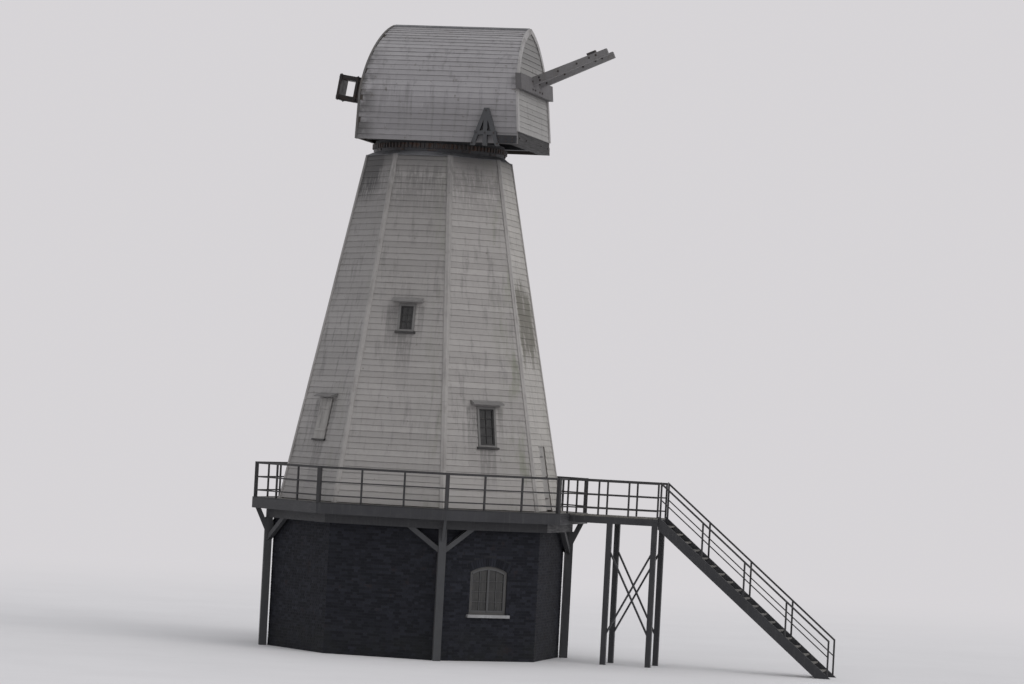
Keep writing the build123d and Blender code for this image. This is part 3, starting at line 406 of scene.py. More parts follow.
# Below the stage the frames keep half their colour, as painted shade under the stage.
frame_paint = timber("Window frames", (0.190, 0.184, 0.180), (0.130, 0.126, 0.123), "z", 0.3, (0.10, 0.095, 0.09),
                     below=(STAGE, 0.50))
hood_paint = timber("Hood boards", (0.215, 0.207, 0.203), (0.145, 0.140, 0.137), "y", 0.4, (0.12, 0.11, 0.103))
deck_wood = timber("Weathered deck", (0.19, 0.18, 0.165), (0.10, 0.095, 0.088), "x", 0.4, (0.05, 0.05, 0.047),
                   made=True)
tread_wood = timber("Weathered treads", (0.17, 0.162, 0.15), (0.095, 0.09, 0.083), "x", 0.5, (0.06, 0.06, 0.055))
bare_upright = timber("Bare posts", BARE_LIGHT, BARE_DARK, "z", 0.2)
bare_across = timber("Bare beams", BARE_LIGHT, BARE_DARK, "x", 0.2)
under_boards = timber("Timber behind the boards", (0.085, 0.07, 0.058), (0.04, 0.034, 0.03), "z")
door_paint = timber("Door paint", (0.038, 0.042, 0.044), (0.022, 0.024, 0.026), "z", 0.7, (0.11, 0.1, 0.09), made=True)
door_core = timber("Door behind its planks", (0.03, 0.03, 0.03), (0.02, 0.02, 0.02), "z")
print("With timber:", len(bpy.data.materials))

# %% [markdown]
# ## Tarred brick, iron, stone and glass
# The base is brick under many coats of tar, and its colour is also painted darker for the shade under the stage. Each
# brick carries its own tone, and rain and frost have opened the tar in places. Iron is dark with rust. The panes are
# dusty, and their colour is painted dark for the shade of the mill behind them.

# %% Brick, iron, stone and glass
def tarred_brick():
    finish, shader, coordinates = start_finish("Tarred brick")
    shader.inputs["Specular IOR Level"].default_value = 0.2
    tone = carried(finish, "tone")
    # The colour is the tar's near-black, and also painted darker for the shade under the stage.
    colour = blend(tone, (0.0105, 0.0112, 0.0152), (0.0245, 0.0260, 0.0345))
    grit = worn_patches(coordinates, 60.0, 0.35, 0.65)
    colour = blend(times(rain_runs(coordinates, 5.0, 0.5, 0.45, 0.75), 0.35), colour, (0.015, 0.016, 0.021))
    opened = times(worn_patches(coordinates, 2.4, 0.60, 0.66), tone)
    colour = blend(times(opened, 0.5), colour, (0.036, 0.024, 0.021))
    splash = times(ramp(parts(coordinates)["Z"], 0.1, 1.1, 0.6, 0), clouds(coordinates, 1.6))
    colour = blend(splash, colour, (0.022, 0.024, 0.022))
    rough = maths("ADD", ramp(grit, 0, 1, 0.68, 0.85), times(opened, 0.12))
    surface(shader, colour, rough, maths("SUBTRACT", grit, times(opened, 2.0)), 0.3, 0.004)
    return finish


def rough_cast(name, light, dark, scale, rough, depth=0.003, stain=(0.05, 0.045, 0.04), stained=0.3):
    """Mortar, stone or paving: two colours in clouds, fine grit and a few stains."""
    finish, shader, coordinates = start_finish(name)
    grit = clouds(coordinates, scale * 22)
    colour = blend(times(grit, 0.2), blend(clouds(coordinates, scale), dark, light), dark)
    colour = blend(times(rain_runs(coordinates, 7.0, 0.8), stained), colour, stain)
    surface(shader, colour, ramp(grit, 0, 1, rough - 0.1, rough + 0.1), grit, 0.3, depth)
    return finish


def rusted_iron(name, rust=0.5, bright=1.0):
    finish, shader, coordinates = start_finish(name, metallic=0.25)
    cloud = clouds(coordinates, 6.0)
    rusting = worn_patches(coordinates, 9.0, 0.46, 0.62)
    mask = times(most(rusting, times(rain_runs(coordinates, 24.0, 2.5, 0.45, 0.7), 0.6)), rust)
    colour = blend(mask, blend(cloud, (0.018, 0.018, 0.020), (0.036, 0.034, 0.034)), (0.105, 0.047, 0.024))
    surface(shader, blend(1 - bright, colour, BLACK), ramp(mask, 0, 1, 0.42, 0.85),
            maths("ADD", rusting, times(cloud, 0.4)), 0.3, 0.002)
    return finish


def dusty_glass():
    finish, shader, coordinates = start_finish("Dusty glass")
    fill(shader, {"Transmission Weight": 0.08, "IOR": 1.45})
    dust = worn_patches(coordinates, 4.0, 0.35, 0.75)
    grime_and_shade = times(most(dust, rain_runs(coordinates, 18.0, 1.2, 0.4, 0.7)), 0.5)
    # The dark colour is painted shade from the dark mill behind the pane; dust lightens it.
    surface(shader, blend(grime_and_shade, (0.026, 0.026, 0.026), (0.074, 0.072, 0.068)), ramp(grime_and_shade, 0, 1, 0.03, 0.4),
            worn_patches(coordinates, 1.5, 0.2, 0.8), 0.1, 0.002)
    return finish


brick_finish = tarred_brick()
mortar = rough_cast("Tarred mortar", (0.014, 0.0148, 0.0195), (0.0070, 0.0075, 0.0105), 2.5, 0.8,
                    stain=(0.018, 0.018, 0.020))
sill_stone = rough_cast("Painted stone sill", (0.36, 0.36, 0.37), (0.26, 0.26, 0.265), 3.0, 0.75)
lead = rough_cast("Weathered lead", (0.145, 0.146, 0.155), (0.085, 0.086, 0.092), 2.0, 0.6, 0.001, stained=0.2)
paving = rough_cast("Brick paving", (0.24, 0.14, 0.1), (0.13, 0.085, 0.065), 2.0, 0.85)
iron = rusted_iron("Rusted iron")
dark_iron = rusted_iron("Dark iron", 0.3)
black_iron = rusted_iron("Black cast iron", 0.35, 0.55)
glass = dusty_glass()
print("Finishes in all:", len(bpy.data.materials))

# %% [markdown]
# ## How boards and bricks are made
# Every board, brick and bar is a closed solid drawn through rings of points. The points are given as height up the
# wall, distance along it and distance out from it, and a small function turns these into a place on a leaning wall, on
# the cap's curve or on the deck. So one way of making a board serves all of them. Thousands of such solids are joined
# into one mesh for each piece, which keeps the scene light.

# %% A stack of solids that becomes one piece
random.seed(8)
GRAIN_SHIFT = 90


def new_stack():
    return {label: [] for label in ("points", "faces", "grain", "wall", "tone", "edge")}


def add_solid(stack, place, rings, tone=None, closed=False, upright=False):
    """A closed solid through rings of (up, along, out) or (up, along, out, worn edge)."""
    tone = random.random() if tone is None else tone
    start, size, total = len(stack["points"]), len(rings[0]), len(rings)
    shift = random.uniform(0, GRAIN_SHIFT)
    for ring in rings:
        for up, along, out, *edge in ring:
            stack["points"].append(tuple(place(up, along, out)))
            stack["grain"].append((up + shift, along, shift) if upright else (along + shift, up, shift))
            stack["wall"].append((along, up, out))
            stack["tone"].append(tone)
            stack["edge"].append(edge[0] if edge else 0.0)
    for index in range(total if closed else total - 1):
        near, far = start + index * size, start + (index + 1) % total * size
        for corner in range(size):
            after = (corner + 1) % size
            stack["faces"].append((near + corner, near + after, far + after, far + corner))
    if not closed:
        stack["faces"] += [tuple(range(first, first + size)) for first in (start, start + (total - 1) * size)]


def make_piece(stack, name, body, finish, slot, *replaced):
    """Turns a stack into one mesh that rides on a body of the frame."""
    mesh = bpy.data.meshes.new(name)
    mesh.from_pydata(stack["points"], [], stack["faces"])
    for label in ("grain", "wall", "tone", "edge"):
        kind, part = ("FLOAT_VECTOR", "vector") if label in ("grain", "wall") else ("FLOAT", "value")
        layer = mesh.attributes.new(label, kind, "POINT")
        layer.data.foreach_set(part, np.array(stack[label], dtype=np.float32).ravel())
    work = bmesh.new()
    work.from_mesh(mesh)
    bmesh.ops.recalc_face_normals(work, faces=work.faces)
    work.to_mesh(mesh)
    work.free()
    mesh.materials.append(finish)
    piece = add_object(name, mesh)
    if replaced:
        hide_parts(*replaced)
    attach(piece, body)
    print(name, "has", sum(len(face) - 2 for face in stack["faces"]), "triangles")


def bar(stack, place, up, along, out, chamfer=0.003, upright=False):
    """A straight bar with its two front edges eased, lying level or standing upright."""
    (low, high), long = (along, up) if upright else (up, along)
    inner, outer = out
    section = ((low, inner), (low, outer - chamfer), (low + chamfer, outer), (high - chamfer, outer),
               (high, outer - chamfer), (high, inner))
    rings = [[(end, side, depth) if upright else (side, end, depth) for side, depth in section] for end in long]
    add_solid(stack, place, rings, upright=upright)


def around(middle, half):
    return middle - half, middle + half


def circle(count, first=0.0):
    """The cosine and sine of evenly spaced turns."""
    turns = np.linspace(first, first + 2 * math.pi, count, endpoint=False)
    return [(math.cos(turn), math.sin(turn)) for turn in turns]


# %% [markdown]
# ## Places on the mill
# The walls lean, the cap curves and the deck lies flat. Each gets a function from (up, along, out) to a place.

# %% The walls' planes
SMOCK_FOOT, SMOCK_HEAD, SMOCK_RISE = 3.575, 1.83, 9.45
BASE, BASE_TOP = 3.695, 3.78
EIGHTH = math.tan(math.radians(22.5))
BATTER = math.atan((SMOCK_FOOT - SMOCK_HEAD) / SMOCK_RISE)
SLOPE = SMOCK_RISE / math.cos(BATTER)
SIDES = range(0, 360, 45)


def facing(angle):
    """The directions out of a side and along it."""
    turn = math.radians(angle)
    return (math.cos(turn), math.sin(turn)), (-math.sin(turn), math.cos(turn))


def on_side(angle, reach, along, level):
    """The place at a distance out from the mill's axis, a distance along the side and a level above the ground."""
    (ox, oy), (ax, ay) = facing(angle)
    return ox * reach + ax * along, oy * reach + ay * along, level


def smock_reach(up, out):
    return SMOCK_FOOT - up * math.sin(BATTER) + out * math.cos(BATTER)


def smock_wall(angle):
    return lambda up, along, out: on_side(
        angle, smock_reach(up, out), along, STAGE + up * math.cos(BATTER) + out * math.sin(BATTER))


def base_wall(angle):
    return lambda up, along, out: on_side(angle, BASE + out, along, up)


def deck_side(angle):
    return lambda up, along, out: on_side(angle, up, along, STAGE + out)


print("The smock leans in by", round(math.degrees(BATTER), 1), "degrees over", round(SLOPE, 2), "m of slope")

# %% [markdown]
# ## Lapped weatherboards
# Feather-edged boards are nailed from the bottom up, each lower edge over the top of the board below. On a real mill
# they are 2 to 4 m long, butted with staggered joints, and never quite straight. Each board here is one wedge, a
# millimetre or two off true, notched round windows and doors.

# %% Weatherboards
LOWER_PROUD, UPPER_PROUD, CHAMFER, WORN_BAND = 0.024, 0.009, 0.004, 0.022
BURIED, LAP, BUTT_GAP, STATION, WARP = 0.002, 0.006, 0.0006, 0.5, 0.0015
CORNER_WIDTH, CORNER_PROUD, CORNER_LAP = 0.085, 0.040, 0.004
LEAST_CUT, LEAST_OVER, LEAST_BUTT, LEAST_FIRST, LEAST_LAST = 0.03, 0.01, 0.15, 0.7, 0.6
BOARDS_FOOT, BOARDS_HEAD = 0.012, 0.006
DOOR_WIDTH, DOOR_HEIGHT = 0.76, 1.78
EXPOSURE = 0.163


def free_spans(low, high, blocks):
    """What is left of a length when the blocked parts are taken out."""
    spans, start = [], low
    for left, right in sorted(blocks):
        if left > start:
            spans.append((start, left))
        start = max(start, right)
    return spans + ([(start, high)] if start < high else [])


def one_board(stack, place, limits, bottom, step, low, high, start, end, at_ends, tone, shift, ragged):
    """Part of a row between two heights and two places along it. at_ends says which ends reach the wall's limits."""
    def proud(up):
        return LOWER_PROUD + (UPPER_PROUD - LOWER_PROUD) * (up - bottom) / step + shift

    section = [(low, -BURIED, 0), (low, proud(low), 0)]
    if low == bottom:
        section = [(low, -BURIED, 0), (low, proud(low) - CHAMFER, 1), (low + CHAMFER, proud(low), 1),
                   (low + WORN_BAND, proud(low + WORN_BAND), 0)]
    upper = high + (LAP if high >= bottom + step - 1e-6 else 0)
    section += [(upper, proud(upper), 0), (upper, -BURIED, 0)]
    count = max(1, math.ceil((end - start) / STATION))
    rings = []
    for index in range(count + 1):
        sag = random.uniform(-WARP, WARP)
        ring = []
        for up, out, edge in section:
            along = start + BUTT_GAP + (end - start - 2 * BUTT_GAP) * index / count
            if index == 0 and at_ends[0]:
                along = limits(up, out)[0] + ragged[0]
            if index == count and at_ends[1]:
                along = limits(up, out)[1] - ragged[1]
            ring.append((up + sag * edge, along, out + (sag if out > 0 else 0), edge))
        rings.append(ring)
    add_solid(stack, place, rings, tone)


def lap_boards(stack, place, limits, foot, head, exposure, openings=(), lengths=(2.8, 4.6), ragged=lambda: (0, 0)):
    """Rows of boards from foot to head. An opening is its two places along and its two heights."""
    rows = round((head - foot) / exposure)
    step = (head - foot) / rows
    cuts = {level for *_, low, high in openings for level in (low, high)}
    for row in range(rows):
        bottom = foot + row * step
        levels = sorted({bottom, bottom + step} | {
            cut for cut in cuts if bottom + LEAST_CUT < cut < bottom + step - LEAST_OVER})
        left, right = limits(bottom, 0)
        joints, reach = [], left + random.uniform(LEAST_FIRST, lengths[1])
        while reach < right - LEAST_LAST:
            joints.append(reach)
            reach += random.uniform(*lengths)
        boards = [(random.random(), random.uniform(-WARP, 0.002), ragged()) for _ in range(len(joints) + 1)]
        for low, high in zip(levels, levels[1:]):
            blocks = [(a, b) for a, b, c, d in openings if c < (low + high) / 2 < d]
            for start, end in free_spans(left, right, blocks):
                marks = [start, *(j for j in joints if start + LEAST_BUTT < j < end - LEAST_BUTT), end]
                for first, last in zip(marks, marks[1:]):
                    tone, shift, ends = boards[sum(j < (first + last) / 2 for j in joints)]
                    one_board(stack, place, limits, bottom, step, low, high, first, last,
                              (first == left, last == right), tone, shift, ends)


def board_piece(name, body, finish, slot, walls, *rows):
    """One piece of lapped boards on one or more walls, each given by its place and its limits."""
    boards = new_stack()
    for place, limits in walls:
        lap_boards(boards, place, limits, *rows)
    make_piece(boards, name, body, finish, slot)


def smock_limits(up, out):
    half = smock_reach(up, out) * EIGHTH - CORNER_WIDTH + CORNER_LAP
    return -half, half


def opening(window, margin=0.002):
    up, wide, high = window
    return (-wide / 2 - margin, wide / 2 + margin, up - high / 2 - margin, up + high / 2 + margin)


for name, angles, gaps, finish in (
    ("smock_boards_upper", (0, 180), (opening(UPPER_WINDOW),), boards_upper),
    ("smock_boards_lower", (45, 225), (opening(LOWER_WINDOW),), boards_lower),
    ("smock_boards_front", (135, 315), (opening(LOWER_WINDOW),), boards_front),
    ("smock_boards_door", (90,), ((-DOOR_WIDTH / 2, DOOR_WIDTH / 2, -0.01, DOOR_HEIGHT),), boards_door),
    ("smock_boards_back", (270,), (), boards_plain),
):
    board_piece(name, "tower", finish, "white_boards", [(smock_wall(angle), smock_limits) for angle in angles],
                BOARDS_FOOT, SLOPE - BOARDS_HEAD, EXPOSURE, gaps)

# %% [markdown]
# ## Corner boards
# Where two boarded walls meet, a pair of narrow upright boards covers the ends. They catch the light as pale lines.

# %% Corner boards of the smock
def corner_place(angle):
    """Along is measured from the corner, back along one wall or forward along the next."""
    def place(rise, along, out):
        reach = SMOCK_FOOT + (SMOCK_HEAD - SMOCK_FOOT) * rise / SMOCK_RISE + out / math.cos(BATTER)
        side = -1 if along <= 0 else 1
        return on_side(angle + side * 22.5, reach, along - side * reach * EIGHTH, STAGE + rise)
    return place


CORNER_LENGTHS, SHORTEST, END_GAP, CORNER_JOINT = (2.3, 3.6), 0.8, 0.004, 0.003

corners = new_stack()
for angle in SIDES:
    low, head = END_GAP, SMOCK_RISE - END_GAP
    while low < head:
        top = min(low + random.uniform(*CORNER_LENGTHS), head)
        if SMOCK_RISE - top < SHORTEST:
            top = head
        rings = []
        for height in np.linspace(low, top - CORNER_JOINT, 5):
            proud = CORNER_PROUD + random.uniform(-0.001, WARP)
            half = CORNER_WIDTH + random.uniform(-0.002, 0.002)
            rings.append([(height, along, out, *edge) for along, out, *edge in (
                (-half, -BURIED), (-half, proud - CHAMFER, 1), (CHAMFER - half, proud), (0, proud, 1),
                (half - CHAMFER, proud), (half, proud - CHAMFER, 1), (half, -BURIED), (0, -BURIED))])
        add_solid(corners, corner_place(angle + 22.5), rings, upright=True)
        low = top
make_piece(corners, "smock_corner_boards", "tower", corner_paint, "white_boards")

# %% [markdown]
# ## The cap's curve
# The cap is a boat upside down: a nearly upright skirt, a shoulder, and a curve up to the ridge, which is cut off by a
# raking front and tail. The curve is sampled once, with its outward direction, so boards can be laid on it by their
# distance along the curve.

# %% Sampling the cap's section and its ends
CAP_EDGE, CAP_HALF, SHOULDER_HALF, SHOULDER, CAP_TOP, BULGE = 13.80, 2.0, 1.92, 1.30, 3.26, 0.43
FRONT, FRONT_BREAK_Y, FRONT_BREAK, FRONT_RIDGE, FRONT_BULGE = -1.83, -1.815, 1.2, -1.44, 0.06
TAIL, TAIL_RIDGE = 2.63, 2.34


def arc_points(first, middle, last, count=40):
    """Points on the circle through three points."""
    (ax, ay), (bx, by), (cx, cy) = first, middle, last
    d = 2 * (ax * (by - cy) + bx * (cy - ay) + cx * (ay - by))
    ux = ((ax**2 + ay**2) * (by - cy) + (bx**2 + by**2) * (cy - ay) + (cx**2 + cy**2) * (ay - by)) / d
    uy = ((ax**2 + ay**2) * (cx - bx) + (bx**2 + by**2) * (ax - cx) + (cx**2 + cy**2) * (bx - ax)) / d
    radius = math.hypot(ax - ux, ay - uy)
    turns = np.unwrap([math.atan2(y - uy, x - ux) for x, y in (first, middle, last)])
    return [(ux + radius * math.cos(t), uy + radius * math.sin(t)) for t in np.linspace(turns[0], turns[2], count)]


def curve(points, outward):
    """A function from the distance along a curve to its point and its outward direction, and the curve's length."""
    line = np.array(points)
    reach = np.concatenate(([0], np.cumsum(np.hypot(*np.diff(line, axis=0).T))))
    tangent = np.gradient(line, reach, axis=0)
    tangent /= np.hypot(*tangent.T)[:, None]
    normal = np.column_stack((tangent[:, 1], -tangent[:, 0])) * outward

    def at(q):
        return [float(np.interp(q, reach, column)) for column in (*line.T, *normal.T)]
    return at, float(reach[-1])


def tail_y(height):
    return TAIL + (TAIL_RIDGE - TAIL) * height / CAP_TOP


rise = CAP_TOP - SHOULDER
long = math.hypot(SHOULDER_HALF, rise)
crown = (SHOULDER_HALF / 2 + rise / long * BULGE, (SHOULDER + CAP_TOP) / 2 + SHOULDER_HALF / long * BULGE)
skirt = [(CAP_HALF + (SHOULDER_HALF - CAP_HALF) * share, SHOULDER * share) for share in np.linspace(0, 1, 12)[:-1]]
section_line = skirt + arc_points((SHOULDER_HALF, SHOULDER), crown, (0, CAP_TOP))
section_at, section_length = curve(section_line, 1)
front_line = [(FRONT, 0), ((FRONT + FRONT_BREAK_Y) / 2, FRONT_BREAK / 2)] + arc_points(
    (FRONT_BREAK_Y, FRONT_BREAK),
    ((FRONT_BREAK_Y + FRONT_RIDGE) / 2 - FRONT_BULGE, (FRONT_BREAK + CAP_TOP) / 2),
    (FRONT_RIDGE, CAP_TOP))
front_at, front_length = curve(front_line, -1)
tail_at, tail_length = curve([(tail_y(height), height) for height in (0, CAP_TOP / 2, CAP_TOP)], 1)


def at_height(line):
    """A function from a height above the cap's edge to the line's place there."""
    places, heights = np.array(line).T
    return lambda height: float(np.interp(height, heights, places))


half_at, front_y = at_height(section_line), at_height(front_line)


def cap_side(sign):
    def place(up, along, out):
        x, z, nx, nz = section_at(up)
        return sign * (x + nx * out), along, CAP_EDGE + z + nz * out
    return place


def side_limits(up, out):
    _, z, _, nz = section_at(up)
    return front_y(z + nz * out), tail_y(z + nz * out)


def cap_end(at):
    """The place and the limits of the boards across one end of the cap."""
    def place(up, along, out):
        y, z, ny, nz = at(up)
        return along, y + ny * out, CAP_EDGE + z + nz * out

    def limits(up, out):
        _, z, _, nz = at(up)
        half = half_at(min(z + nz * out, CAP_TOP)) - 0.004
        return -half, half
    return place, limits


print("The curve from edge to ridge is", round(section_length, 2), "m; the front is", round(front_length, 2),
      "m up its rake")

# %% [markdown]
# ## Boards of the cap
# The side boards run the length of the cap. Their front ends take the weather, so some are short or split there, and
# the dark frame shows behind them. The ends have boards laid across, cut round the windshaft and the cross timber.

# %% The cap's boards
CAP_EXPOSURE = 0.15
BELOW_EDGE, BELOW_RIDGE, BELOW_TOP = -0.02, 0.01, 0.12
LOST = (0, 0, 0, 0.01, 0.02, 0.035, 0.08)
SHAFT_HEIGHT, STORM_HALF, SHAFT_HOLE = 1.376, 0.42, 0.285
TAIL_BEAM, TIMBER_LOW, TIMBER_HIGH, TIMBER_HALF = 0.34, 1.49, 1.91, 1.98
storm_gap = (-STORM_HALF, STORM_HALF, SHAFT_HEIGHT - STORM_HALF, SHAFT_HEIGHT + STORM_HALF)
timber_gap = (-TIMBER_HALF, TIMBER_HALF, TIMBER_LOW, TIMBER_HIGH)


def weathered_ends():
    """How much a board's front and tail ends have lost."""
    return random.choice(LOST) + random.uniform(-0.012, 0.01), random.uniform(-0.006, 0.006)


for name, sign in (("cap_boards_right", 1), ("cap_boards_left", -1)):
    board_piece(name, "cap", cap_paint, "cap_boards", [(cap_side(sign), side_limits)], BELOW_EDGE,
                section_length - BELOW_RIDGE, CAP_EXPOSURE, (), (1.8, 3.4), weathered_ends)
for name, at, foot, length, gap in (
    ("cap_boards_front", front_at, 0, front_length, storm_gap),
    ("cap_boards_tail", tail_at, TAIL_BEAM, tail_length, timber_gap),
):
    board_piece(name, "cap", gable_paint, "cap_boards", [cap_end(at)], foot, length - BELOW_TOP, CAP_EXPOSURE, (gap,))

# %% [markdown]
# ## Barge boards and the storm board
# A board follows the curve at each end of the cap and covers the cut ends. It is worn dark in front and pale at the
# tail. A square board with a round hole closes the gap round the windshaft's neck.

# %% Barge boards and storm board
BARGE_OUT, BARGE_IN, BARGE_THICK, BARGE_SUNK, BARGE_JOINT = 0.034, 0.11, 0.046, 0.01, 0.001
barge_section = ((BARGE_OUT, -BARGE_SUNK, 0), (BARGE_OUT, BARGE_THICK, 1), (-BARGE_IN, BARGE_THICK, 1),
                 (-BARGE_IN, -BARGE_SUNK, 0))


def barge_boards(stack, sign, rake, outward, foot):
    """Four lengths of board along the curve of one half of an end."""
    marks = np.linspace(foot, section_length, 5)
    for start, end in zip(marks, marks[1:]):
        rings = []
        for q in np.linspace(start + BARGE_JOINT, end - BARGE_JOINT, 12):
            x, z, nx, nz = section_at(q)
            rings.append([(z + nz * side, sign * max(x + nx * side, 0.0),
                           rake(min(z + nz * side, CAP_TOP)) + outward * depth, edge)
                          for side, depth, edge in barge_section])
        add_solid(stack, lambda up, along, out: (along, out, CAP_EDGE + up), rings)


front_edges, tail_edges, storm = new_stack(), new_stack(), new_stack()
for sign in (1, -1):
    barge_boards(front_edges, sign, front_y, -1, 0.0)
    barge_boards(tail_edges, sign, tail_y, 1, TAIL_BEAM)
make_piece(front_edges, "cap_front_barge_boards", "cap", bare_barge, "cap_boards")
make_piece(tail_edges, "cap_tail_barge_boards", "cap", barge_paint, "cap_boards")

rings = []
for c, s in circle(48):
    far = STORM_HALF / max(abs(c), abs(s)) - 0.003
    rings.append([(SHAFT_HEIGHT + s * r, c * r, out) for r, out in (
        (SHAFT_HOLE, -BURIED), (SHAFT_HOLE, 0.036), (SHAFT_HOLE + 0.05, 0.040), (far, 0.034), (far, -BURIED))])
add_solid(storm, cap_end(front_at)[0], rings, 0.6, closed=True)
make_piece(storm, "storm_board", "cap", gable_paint, "cap_boards")

# %% [markdown]
# ## Lead, plates and cleats
# Sheet lead caps the ridge, and a lead skirt throws the rain off the ledge where the round curb meets the eight-sided
# smock. Timber plates hold the tail beam's ends at the cap's lower corners.

# %% Lead on the ridge and round the curb, timber on the cap's corners
RIDGE_LAP, CORNER_TIMBER = 0.012, 0.105
FLASHING_OUT, CURB_OUT, FLASHING_LOW, FLASHING_TOP = SMOCK_HEAD + 0.050, 1.786, 13.412, 13.530

capping, fittings, skirting = new_stack(), new_stack(), new_stack()
for sign in (1, -1):
    marks = np.linspace(FRONT_RIDGE - 0.02, TAIL_RIDGE + 0.02, 4)
    for start, end in zip(marks, marks[1:]):
        bar(capping, cap_side(sign), (section_length - 0.20, section_length - 0.004), (start + 0.001, end + RIDGE_LAP),
            (0.0, 0.034 + random.uniform(-0.003, 0.002)), 0.006)
    bar(fittings, cap_side(sign), (-0.012, 0.21), (2.05, 2.60), (0.0, CORNER_TIMBER), 0.010)
make_piece(capping, "ridge_capping", "cap", lead, "iron")
make_piece(fittings, "cap_corner_timbers", "cap", tar_fittings, "black_timber")

rings = []
for turn in np.linspace(0, 2 * math.pi, 64, endpoint=False):
    edge = FLASHING_OUT / math.cos((turn + math.pi / 8) % (math.pi / 4) - math.pi / 8)
    rings.append([(level, turn, reach) for level, reach in (
        (FLASHING_LOW, edge - 0.006), (FLASHING_LOW, edge), (FLASHING_LOW + 0.012, edge + 0.002),
        (FLASHING_TOP, CURB_OUT + 0.014), (FLASHING_TOP, CURB_OUT), (FLASHING_TOP - 0.060, CURB_OUT))])
add_solid(skirting, lambda up, turn, out: (out * math.cos(turn), out * math.sin(turn), up), rings, 0.5, closed=True)
make_piece(skirting, "curb_flashing", "tower", lead, "iron")

# %% [markdown]
# ## Brickwork of the base
# The base is laid in Flemish bond: stretchers and headers in turn, shifted on every other course. The plain wall of
# the frame is the mortar, set back behind bricks that stand about six millimetres proud.

# %% Bricks
STRETCHER, HEADER, JOINT, COURSES = 0.215, 0.1025, 0.010, 50
PITCH = BASE_TOP / COURSES
BASE_WINDOW, WINDOW_RISE = (-0.575, 0.575, 1.23, 2.51), 0.15
ARCH_RADIUS = (BASE_WINDOW[1] ** 2 + WINDOW_RISE ** 2) / (2 * WINDOW_RISE)
ARCH_CENTRE, ARCH_TURN = BASE_WINDOW[3] - ARCH_RADIUS, math.asin(BASE_WINDOW[1] / ARCH_RADIUS)
ARCH_HEIGHT, ARCH_SPLAY, ARCH_JOINT, ARCH_PROUD = 0.225, 0.07, 0.004, 0.009
SILL_GAP = (-0.657, 0.657, 1.148, 1.232)
DOOR_HALF, DOOR_HEAD = 0.5, 2.11
LEAST_BRICK, LEAST_BLOCK = 0.03, 0.012


def arch_level(along, radius):
    """The level of a curve struck from the window arch's centre."""
    return ARCH_CENTRE + math.sqrt(radius ** 2 - along ** 2)


def round_arch_gaps():
    """What the arch over a window takes out of each course."""
    gaps, outer = [], ARCH_RADIUS + ARCH_HEIGHT
    for course in range(COURSES):
        rises = [level * PITCH - ARCH_CENTRE for level in (course, course + 1)]
        halves = [min(rise * math.tan(ARCH_TURN), math.sqrt(outer ** 2 - rise ** 2)) for rise in rises if rise < outer]
        if halves and rises[1] > ARCH_RADIUS * math.cos(ARCH_TURN):
            gaps.append((-max(halves), max(halves), course * PITCH, (course + 1) * PITCH))
    return gaps


def brick(stack, place, rings):
    """A brick in its own tone. More are dark than pale."""
    add_solid(stack, place, rings, random.random() ** 1.5)


def arch(stack, place, count, joint, corner):
    """Bricks on edge. The corner function gives (up, along) from a share of the arch and from foot or head."""
    for index in range(count):
        first, last = ((index + share) / count for share in (joint, 1 - joint))
        corners = [corner(first, 0), corner(last, 0), corner(last, 1), corner(first, 1)]
        brick(stack, place, [[(*spot, out) for spot in corners] for out in (-BURIED, ARCH_PROUD)])


def round_corner(share, head):
    """Each brick of a window's segmental arch points to its centre."""
    reach, turn = ARCH_RADIUS + (ARCH_HEIGHT - ARCH_JOINT if head else ARCH_JOINT), ARCH_TURN * (2 * share - 1)
    return ARCH_CENTRE + reach * math.cos(turn), reach * math.sin(turn)


def flat_corner(share, head):
    """The door's flat arch is splayed outward to its head."""
    splay = ARCH_SPLAY if head else 0
    return (DOOR_HEAD + (ARCH_HEIGHT - ARCH_JOINT if head else ARCH_JOINT),
            -DOOR_HALF - splay + 2 * (DOOR_HALF + splay) * share)


bricks = new_stack()
for angle in SIDES:
    place, gaps = base_wall(angle), []
    if angle in (45, 225):
        gaps = [BASE_WINDOW, SILL_GAP, *round_arch_gaps()]
        arch(bricks, place, 17, 0.07, round_corner)
    if angle == 180:
        gaps = [(*around(0, DOOR_HALF), -0.01, DOOR_HEAD),
                (*around(0, DOOR_HALF + ARCH_SPLAY), DOOR_HEAD, DOOR_HEAD + ARCH_HEIGHT)]
        arch(bricks, place, 15, 0.06, flat_corner)
    half = BASE * EIGHTH
    for course in range(COURSES):
        low, high = course * PITCH + JOINT / 2, (course + 1) * PITCH - JOINT / 2
        blocks = [(a, b) for a, b, c, d in gaps if c < high - LEAST_BLOCK and d > low + LEAST_BLOCK]
        spans = free_spans(-half, half, blocks)
        reach, length = -half - (course % 2) * (STRETCHER + JOINT) * 0.75, STRETCHER
        while reach < half:
            for start, end in spans:
                first, last = max(reach, start), min(reach + length, end)
                if last - first > LEAST_BRICK:
                    proud = random.uniform(0.0045, 0.0075)
                    section = ((low, -BURIED), (low, proud), (high, proud), (high, -BURIED))
                    brick(bricks, place, [
                        [(level, mitre * (BASE + out) * EIGHTH if end == mitre * half else end, out)
                         for level, out in section] for end, mitre in ((first, -1), (last, 1))])
            reach += length + JOINT
            length = HEADER if length == STRETCHER else STRETCHER
make_piece(bricks, "base_bricks", "tower", brick_finish, "tarred_brick")

# %% [markdown]
# ## Windows
# The frame gives each window its frame and one pane. Here the pane gets its sash and glazing bars, and the smock's
# windows a sloping sill. The lower windows of two opposite walls are closed with pale painted shutters.

# %% Sashes, glazing bars and shutters
FRAME_FACE, SASH, BAR = 0.06, 0.034, 0.018
RAIL_BACK, UPRIGHT_BACK, LEVEL_BACK = 0.002, 0.008, 0.010
SHUTTER_BOARDS, SHUTTER_OVER = 5, 0.012


